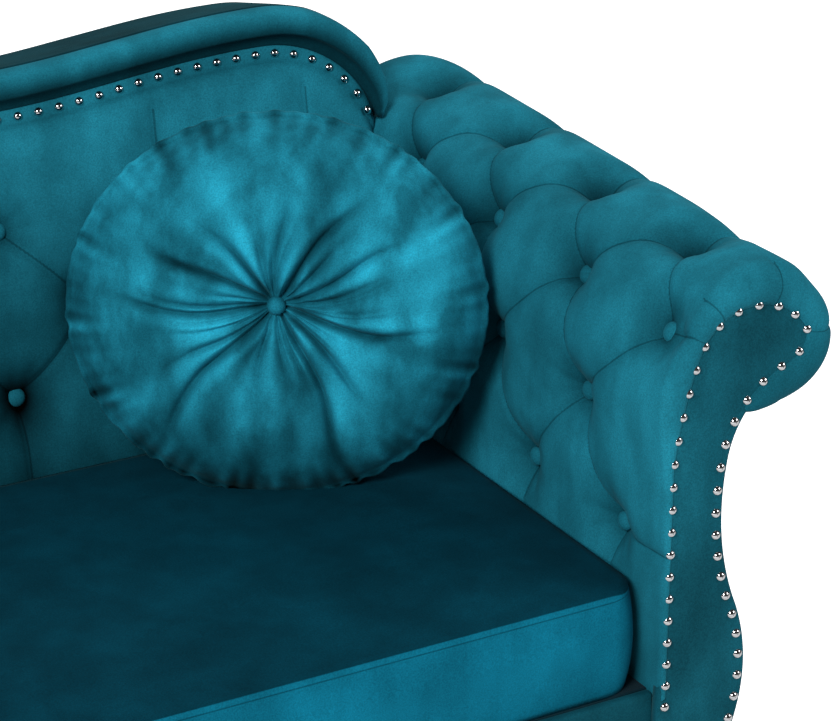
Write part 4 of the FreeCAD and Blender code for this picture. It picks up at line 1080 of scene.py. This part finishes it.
def dust_sheet():
    """The thin cloth under the frame, sagging between its edges."""
    low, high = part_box("dust_cover")
    sag, ripple = 0.004, 0.3

    def place(u, v):
        hang = sag * np.sin(pi * u) * np.sin(pi * v) * (1 + ripple * np.cos(8 * pi * u))
        x, y = low.x + u * (high.x - low.x), low.y + v * (high.y - low.y)
        return np.column_stack([x, y, low.z - hang]), 0

    bm = unit_grid(80, 36)
    form_grid(bm, place)
    return bm, (high.x - low.x, high.y - low.y)


# Shares of the boxing's height over which a vertex of the bench cushion is on its top
TOP_LEVEL = 0.999


def bench_cushion():
    """The bench cushion before it is plumped: two panels, boxing between them and rounded corners."""
    sizes, back = settings().cushion, settings().back
    half_x = ARM_INNER - sizes.gap - sizes.swell
    front = corner("seat_cushion_cover", 0, "y") + sizes.swell
    low, high = CUSHION_LOW, back.seat + sizes.seam_rise
    rear = back.foot - sizes.gap - 0.002
    columns, rows = int(2 * half_x / sizes.step), int((rear - front) / sizes.step)
    bm = unit_grid(columns, rows)
    lower = bmesh.ops.duplicate(bm, geom=bm.verts[:] + bm.edges[:] + bm.faces[:])["geom"]
    bmesh.ops.translate(bm, verts=verts_of(lower), vec=(0, 0, -1))
    rims = [edge for edge in bm.edges if edge.is_boundary]
    walls = bmesh.ops.bridge_loops(bm, edges=rims)["edges"]
    levels = 16
    bmesh.ops.subdivide_edges(bm, edges=walls, cuts=levels - 1, use_grid_fill=True)
    flat = np.array([vert.co[:] for vert in bm.verts])
    depth = rear - front
    x, y = (2 * flat[:, 0] - 1) * half_x, flat[:, 1] * depth - depth / 2
    core_x, core_y = half_x - sizes.corner, depth / 2 - sizes.corner
    off_x, off_y = np.abs(x) - core_x, np.abs(y) - core_y
    at_corner = (off_x > 0) & (off_y > 0)
    shrink = np.where(at_corner, np.maximum(off_x, off_y) / np.maximum(np.hypot(off_x, off_y), 1e-9), 1)
    x = np.where(at_corner, np.sign(x) * (core_x + off_x * shrink), x)
    y = np.where(at_corner, np.sign(y) * (core_y + off_y * shrink), y)
    level = flat[:, 2] + 1
    out_x, out_y = np.abs(x) / half_x, np.abs(y) / (depth / 2)
    crown = sizes.crown * (1 - out_x ** 10) * (1 - out_y ** 4)
    z = low + level * (high - low) + np.where(level > TOP_LEVEL, crown, 0)
    swell = sizes.swell * (1 - (2 * level - 1) ** 2)
    y = y + (front + rear) / 2
    rim_x, rim_y = eased((out_x - 0.9) / 0.1), eased((out_y - 0.8) / 0.2)
    x = x + np.sign(x) * swell * rim_x
    y = y + np.where(y < 0, -swell * rim_y, 0) + np.where(y > 0, (z - high) * np.tan(back.rake) * rim_y, 0)
    for vert, spot in zip(bm.verts, np.column_stack([x, y, z])):
        vert.co = spot
    to_edge = np.minimum(half_x - np.abs(x), np.minimum(y - front, rear - y))
    down = np.where(level > TOP_LEVEL, -np.abs(to_edge), (1 - level) * (high - low))
    # Centimetres down from the top seam, for the painted shade on the top and the painted light on the boxing
    lay_painted_shade(bm, 0, np.clip(down / 0.01, -1, 3))
    return bm


def plumped(made, held, cap, frames=14):
    """Blows a closed cover up as cloth, holding some vertices, and keeps the result within a cap."""
    mesh = made.data
    before = np.zeros(len(mesh.vertices) * 3)
    mesh.vertices.foreach_get("co", before)
    group = made.vertex_groups.new(name="held")
    group.add([int(index) for index in held], 1.0, "REPLACE")
    cloth = made.modifiers.new("plump", "CLOTH")
    cloth.settings.quality = 4
    cloth.settings.mass = 0.25
    cloth.settings.bending_stiffness = 0.6
    cloth.settings.use_pressure = True
    cloth.settings.uniform_pressure_force = settings().cushion.pressure
    cloth.settings.vertex_group_mass = group.name
    cloth.settings.effector_weights.gravity = 0
    cloth.collision_settings.use_collision = False
    cloth.point_cache.frame_start = 1
    cloth.point_cache.frame_end = frames
    scene = bpy.context.scene
    for number in range(1, frames + 1):
        scene.frame_set(number)
    blown = made.evaluated_get(bpy.context.evaluated_depsgraph_get())
    after = np.zeros(len(before))
    blown.data.vertices.foreach_get("co", after)
    made.modifiers.remove(cloth)
    made.vertex_groups.remove(group)
    scene.frame_set(1)
    move = (after - before).reshape(-1, 3)
    far = np.linalg.norm(move, axis=1)[:, None]
    move *= np.minimum(1, cap / np.maximum(far, 1e-9))
    mesh.vertices.foreach_set("co", before + move.ravel())
    mesh.update()


def pillow_pose(side):
    """The frame of a pillow about its own axis, in the sofa's frame."""
    sizes = settings().cushion
    turn, lean = sizes.pillow_turn, sizes.pillow_lean
    way = Vector((-sin(turn) * cos(lean), -cos(turn) * cos(lean), sin(lean)))
    low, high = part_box("pillow_cover_right")
    pose = Matrix.Translation((low + high) / 2) @ way.to_track_quat("Z", "Y").to_matrix().to_4x4()
    return Matrix.Scale(side, 4, (1, 0, 0)) @ pose


# Main folds of a pillow: degrees round from its right, depth, and length over the radius
PILLOW_FOLDS = (
    (-11, 1.2, 0.80), (-27, 0.5, 0.45), (-43, 1.0, 0.68), (-64, 1.1, 0.95), (-84, 0.45, 0.50),
    (-104, 0.6, 0.45), (-134, 1.1, 0.90), (-147, 0.7, 0.60), (-165, 0.5, 0.50), (178, 1.2, 0.80),
    (171, 0.7, 0.70), (146, 1.0, 0.78), (125, 1.0, 0.60), (104, 0.5, 0.50), (88, 0.6, 0.70),
    (57, 1.15, 0.76), (43, 0.5, 0.50), (27, 0.9, 0.76), (10, 0.5, 0.55),
)
# A pillow's folds: their depth, the height of the ridges beside them, the rim's gathers and its edge's waves
FOLD_DEPTH, RIDGE_HEIGHT, GATHER_DEPTH, EDGE_WAVE = 0.0125, 0.0045, 0.0028, 0.0050
# Shades of a pillow: streaks of pile that differ at random, painted shade in the folds, painted light on the
# ridges beside them, and painted shade at the foot, on the rim, at the seam and in the gathers
BRUSH_SHADE, FOLD_SHADE, RIDGE_PAINTED_LIGHT, FOOT_SHADE = 0.30, -0.60, 0.34, -0.50
RIM_SHADE, SEAM_SHADE, GATHER_SHADE = -0.16, -0.15, -0.24


def round_pillow():
    """A round pillow about the z axis: folds from its button and a gathered rim on each face."""
    sizes = settings().cushion
    rim, full = sizes.pillow_diameter / 2, sizes.pillow_thickness / 2
    lip = sizes.pillow_rim / 2
    seat = full - sizes.pillow_tuft
    spread = 0.45 * rim
    half = np.concatenate([
        bowed((0, seat - 0.004), (0.012, seat), 0, 4),
        bowed((0.012, seat), (spread, full), 0.011, 30),
        bowed((spread, full), (rim - lip, lip), 0.022, 44),
        bowed((rim - lip, lip), (rim, 0), 0.002, 5),
    ])
    outline = spaced(np.concatenate([half, [(rim, 0)], half[::-1] * (1, -1)]), 0.0038)
    run = lengths(outline)
    rng = np.random.default_rng(7)
    folds = [(radians(turn), depth, far) for turn, depth, far in PILLOW_FOLDS]
    ranges = ((0, 2 * pi), (0.3, 0.7), (0.25, 0.6))
    folds += zip(*(rng.uniform(least, most, sizes.folds) for least, most in ranges))
    streaks = [(order, rng.uniform(0, 2 * pi), rng.uniform(-6, 6)) for order in (3, 5, 8, 13, 21)]
    pinches = [(order, rng.uniform(0, 2 * pi)) for order in (31, 43, 59, 73)]

    def place(u, v):
        angle = 2 * pi * u
        gone = v * run[-1]
        radius, height = (np.interp(gone, run, outline[:, axis]) for axis in (0, 1))
        share = radius / rim
        groove, ridge = np.zeros(len(u)), np.zeros(len(u))
        for turn, depth, far in folds:
            swing = angle - turn + 0.09 * np.sin(6 * share + turn * 3)
            off = ((swing + pi) % (2 * pi) - pi) * np.maximum(radius, 0.012)
            width = 0.0028 + 0.0036 * share
            fade = depth * eased(share / 0.08) * (1 - eased((share - 0.45 * far) / (0.65 * far)))
            groove = np.maximum(groove, fade * np.exp(-(np.abs(off) / width) ** 1.5))
            ridge = np.maximum(ridge, fade * np.exp(-((off - 2.6 * width) / (2 * width)) ** 2))
        pinch = sum(np.cos(order * angle + phase) for order, phase in pinches) / 2.4
        gathers = pinch * eased((share - 0.74) / 0.24)
        pinched = GATHER_DEPTH * gathers * (1 - eased((share - 0.985) / 0.015))
        inward = FOLD_DEPTH * groove - RIDGE_HEIGHT * ridge + pinched
        height = height - np.sign(height) * np.minimum(inward, np.abs(height) * 0.8)
        low = 1 + 1.4 * np.clip(-np.sin(angle), 0, 1) ** 2
        radius = radius * (1 + EDGE_WAVE * pinch * low * eased((share - 0.92) / 0.08))
        patches_and_painted_light = sum(np.cos(order * angle + phase + twist * share) for order, phase, twist in streaks) / 2.6
        seam = np.exp(-((share - 0.975) / 0.009) ** 2)
        foot = eased((-share * np.sin(angle + 0.25) - 0.52) / 0.34)
        # Painted shade in the folds, at the foot, rim, seam and gathers, and painted light on the ridges
        painted_shade = BRUSH_SHADE * patches_and_painted_light * eased(share / 0.3)
        painted_shade += FOLD_SHADE * np.clip(groove, 0, 1) + RIDGE_PAINTED_LIGHT * np.clip(ridge, 0, 1)
        painted_shade += FOOT_SHADE * foot + RIM_SHADE * eased((share - 0.82) / 0.16)
        painted_shade += SEAM_SHADE * seam + GATHER_SHADE * gathers
        across = radius * np.cos(angle) * sizes.pillow_spread
        up = radius * np.sin(angle) - sizes.pillow_sag * share ** 2
        return np.column_stack([across, up, height]), painted_shade

    bm = unit_grid(360, len(outline) - 1)
    form_grid(bm, place)
    close(bm)
    return bm


# Farthest that the cloth simulation may move a vertex
PLUMP_CAP = 0.006


class SOFA_OT_arms(bpy.types.Operator):
    """Buttoned covers, facings, outsides and covered buttons of both arms"""
    bl_idname = "sofa.arms"
    bl_label = "Arms"

    def execute(self, context):
        sofa = context.scene.sofa
        form = ArmForm(sofa.arm, sofa.stitching.step)
        for side, way in SIDES.items():
            cover = piece(f"arm_cover_{side}", arm_cover(way), "frame", "velvet", f"arm_pad_{side}")
            front = piece(f"arm_front_{side}", arm_front(way), "frame", "velvet", f"arm_facing_{side}")
            outer = piece(f"arm_side_{side}", arm_side(way), "frame", "velvet", f"arm_outer_panel_{side}")
            spots = heads("arm_buttons_right")
            mirror = (way, 1, 1)
            outwards = [np.array(form.outward(spot)) * mirror for spot in spots]
            studs = covered_buttons(spots * mirror, outwards, sofa.stitching)
            piece(f"arm_studs_{side}", studs, "frame", "velvet", f"arm_buttons_{side}")
        return {"FINISHED"}


class SOFA_OT_back(bpy.types.Operator):
    """Buttoned inside back, the border along its top, covered buttons and the outside back"""
    bl_idname = "sofa.back"
    bl_label = "Back"

    def execute(self, context):
        cover = piece("back_cover", back_cover(), "frame", "velvet", "back_pad")
        border = piece("back_border", back_border(), "frame", "velvet", "back_top_border")
        sofa = context.scene.sofa
        spots = heads("back_buttons")
        out = (0, -cos(sofa.back.rake), sin(sofa.back.rake))
        studs = covered_buttons(spots, [out] * len(spots), sofa.stitching)
        piece("back_studs", studs, "frame", "velvet", "back_buttons")
        outer = piece("outside_back", outside_back(), "frame", "velvet", "back_outer_panel")
        return {"FINISHED"}


class SOFA_OT_seat_front(bpy.types.Operator):
    """Padded strip in front of the seat, the deck over the springs and the dust cover"""
    bl_idname = "sofa.seat_front"
    bl_label = "Seat front and deck"

    def execute(self, context):
        strip = piece("rail_front", rail_front(), "frame", "velvet", "front_rail_cover")
        deck = piece("seat_deck", seat_deck(), "frame", "deck_cloth", "deck_pad")
        cloth, flat = dust_sheet()
        sheet = piece("dust_sheet", cloth, "frame", "lining", "dust_cover")
        return {"FINISHED"}


class SOFA_OT_cushion(bpy.types.Operator):
    """Bench cushion, plumped as cloth"""
    bl_idname = "sofa.cushion"
    bl_label = "Bench cushion"

    def execute(self, context):
        made = piece("seat_cushion", bench_cushion(), "seat_cushion", "seat_velvet",
                     "seat_cushion_cover", "seat_cushion_core")
        sofa = context.scene.sofa
        high = sofa.back.seat + sofa.cushion.seam_rise
        held = [vert.index for vert in made.data.vertices
                if vert.co.z < CUSHION_LOW + 0.02 or abs(vert.co.z - high) < 0.0005]
        plumped(made, held, PLUMP_CAP)
        return {"FINISHED"}


class SOFA_OT_pillows(bpy.types.Operator):
    """Two round pillows, plumped as cloth and mirrored"""
    bl_idname = "sofa.pillows"
    bl_label = "Round pillows"

    def execute(self, context):
        rim = context.scene.sofa.cushion.pillow_diameter / 2
        for side, way in SIDES.items():
            made = piece(f"pillow_{side}", round_pillow(), f"pillow_{side}", "pillow_velvet",
                         f"pillow_cover_{side}", f"pillow_fill_{side}")
            held = [vert.index for vert in made.data.vertices
                    if vert.co.xy.length < 0.014 or vert.co.xy.length > rim * 0.97]
            plumped(made, held, PLUMP_CAP)
            made.data.transform(pillow_pose(way))
            if way < 0:
                made.data.flip_normals()
            seat = corner(f"pillow_cover_{side}", 0, "z")
            for vert in made.data.vertices:
                vert.co.z = max(vert.co.z, seat)
        return {"FINISHED"}


class SOFA_OT_finishes(bpy.types.Operator):
    """Materials of the CAD pieces that stay in view"""
    bl_idname = "sofa.finishes"
    bl_label = "Finishes"

    def execute(self, context):
        slots = {part["node"]: part["material_slot"] for part in frame["record"]["subparts"]}
        for name, node in frame["nodes"].items():
            node.data.materials[0] = finish(slots[name])
        return {"FINISHED"}


# Lamps: name, place, width in metres and power in watts
LAMPS = (("key", (-2.4, -2.4, 3.0), 1.4, 158), ("side", (3.0, -2.0, 2.2), 1.2, 34),
         ("top", (1.4, 1.8, 3.2), 1.4, 30))
LAMPS_AIM = Vector((0, 0, 0.5))
# Width of the floor, and the share of the light from all round that polished metal mirrors
FLOOR_WIDTH, MIRRORED_SHARE = 60, 0.15


class SOFA_OT_stage(bpy.types.Operator):
    """Floor, soft light and the camera"""
    bl_idname = "sofa.stage"
    bl_label = "Stage"

    def execute(self, context):
        scene = context.scene
        stage = scene.sofa.stage
        bm = unit_grid(8, 8)
        bmesh.ops.translate(bm, verts=bm.verts, vec=(-0.5, -0.5, 0))
        bmesh.ops.scale(bm, verts=bm.verts, vec=(FLOOR_WIDTH, FLOOR_WIDTH, 1))
        mesh = bpy.data.meshes.new("floor")
        bm.to_mesh(mesh)
        bm.free()
        floor = bpy.data.objects.new("floor", mesh)
        scene.collection.objects.link(floor)
        made, tree, shader = new_finish("floor", roughness=0.9)
        shader.inputs["Base Color"].default_value = (*stage.floor, 1)
        shader.inputs["Emission Color"].default_value = (1, 1, 1, 1)
        seen = tree.nodes.new("ShaderNodeLightPath").outputs["Is Camera Ray"]
        tree.links.new(seen, shader.inputs["Emission Strength"])
        mesh.materials.append(made)
        world = bpy.data.worlds.new("studio")
        world.use_nodes = True
        sky = world.node_tree.nodes["Background"]
        paths = world.node_tree.nodes.new("ShaderNodeLightPath").outputs
        dim = world.node_tree.nodes.new("ShaderNodeMapRange")
        mirrored = world.node_tree.nodes.new("ShaderNodeMapRange")
        mirrored.inputs["To Min"].default_value = stage.fill
        mirrored.inputs["To Max"].default_value = stage.fill * MIRRORED_SHARE
        world.node_tree.links.new(paths["Is Glossy Ray"], mirrored.inputs["Value"])
        world.node_tree.links.new(mirrored.outputs["Result"], dim.inputs["To Min"])
        world.node_tree.links.new(paths["Is Camera Ray"], dim.inputs["Value"])
        world.node_tree.links.new(dim.outputs["Result"], sky.inputs["Strength"])
        sky.inputs["Color"].default_value = (1, 1, 1, 1)
        scene.world = world
        for name, spot, size, power in LAMPS:
            lamp = bpy.data.lights.new(name, "AREA")
            lamp.size = size
            lamp.energy = power
            lit = bpy.data.objects.new(name, lamp)
            lit.location = spot
            lit.rotation_euler = (LAMPS_AIM - Vector(spot)).to_track_quat("-Z", "Y").to_euler()
            scene.collection.objects.link(lit)
        camera = bpy.data.cameras.new("camera")
        camera.sensor_width = 36
        camera.lens = stage.lens
        camera.clip_end = 100
        held = bpy.data.objects.new("camera", camera)
        held.location = stage.camera
        held.rotation_euler = Euler((stage.tilt, 0, stage.turn))
        scene.collection.objects.link(held)
        scene.camera = held
        scene.view_settings.view_transform = "Standard"
        return {"FINISHED"}


class SofaSettings(bpy.types.PropertyGroup):
    """Everything that a user of the sofa can set"""
    arm: PointerProperty(type=SofaArmSizes)
    back: PointerProperty(type=SofaBackSizes)
    stitching: PointerProperty(type=SofaStitching)
    cushion: PointerProperty(type=SofaCushionSizes)
    colours: PointerProperty(type=SofaColours)
    stage: PointerProperty(type=SofaStage)


OPERATORS = (SOFA_OT_arms, SOFA_OT_back, SOFA_OT_seat_front, SOFA_OT_cushion, SOFA_OT_pillows,
             SOFA_OT_finishes, SOFA_OT_stage)


class SOFA_PT_pieces(bpy.types.Panel):
    """Lists the sofa's pieces in the sidebar"""
    bl_idname = "SOFA_PT_pieces"
    bl_label = "Sofa"
    bl_space_type = "VIEW_3D"
    bl_region_type = "UI"
    bl_category = "Sofa"

    def draw(self, context):
        for operator in OPERATORS:
            self.layout.operator(operator.bl_idname)
        for group in ("stitching", "cushion", "colours"):
            box = self.layout.box()
            values = getattr(context.scene.sofa, group)
            for name in values.__annotations__:
                box.prop(values, name)


CLASSES = (SofaArmSizes, SofaBackSizes, SofaStitching, SofaCushionSizes, SofaColours, SofaStage,
           SofaSettings, *OPERATORS, SOFA_PT_pieces)


def register():
    for made in CLASSES:
        bpy.utils.register_class(made)
    bpy.types.Scene.sofa = PointerProperty(type=SofaSettings)


def unregister():
    del bpy.types.Scene.sofa
    for made in reversed(CLASSES):
        bpy.utils.unregister_class(made)


def main():
    register()
    for operator in OPERATORS:
        group, name = operator.bl_idname.split(".")
        getattr(getattr(bpy.ops, group), name)()


if __name__ == "__main__":
    main()
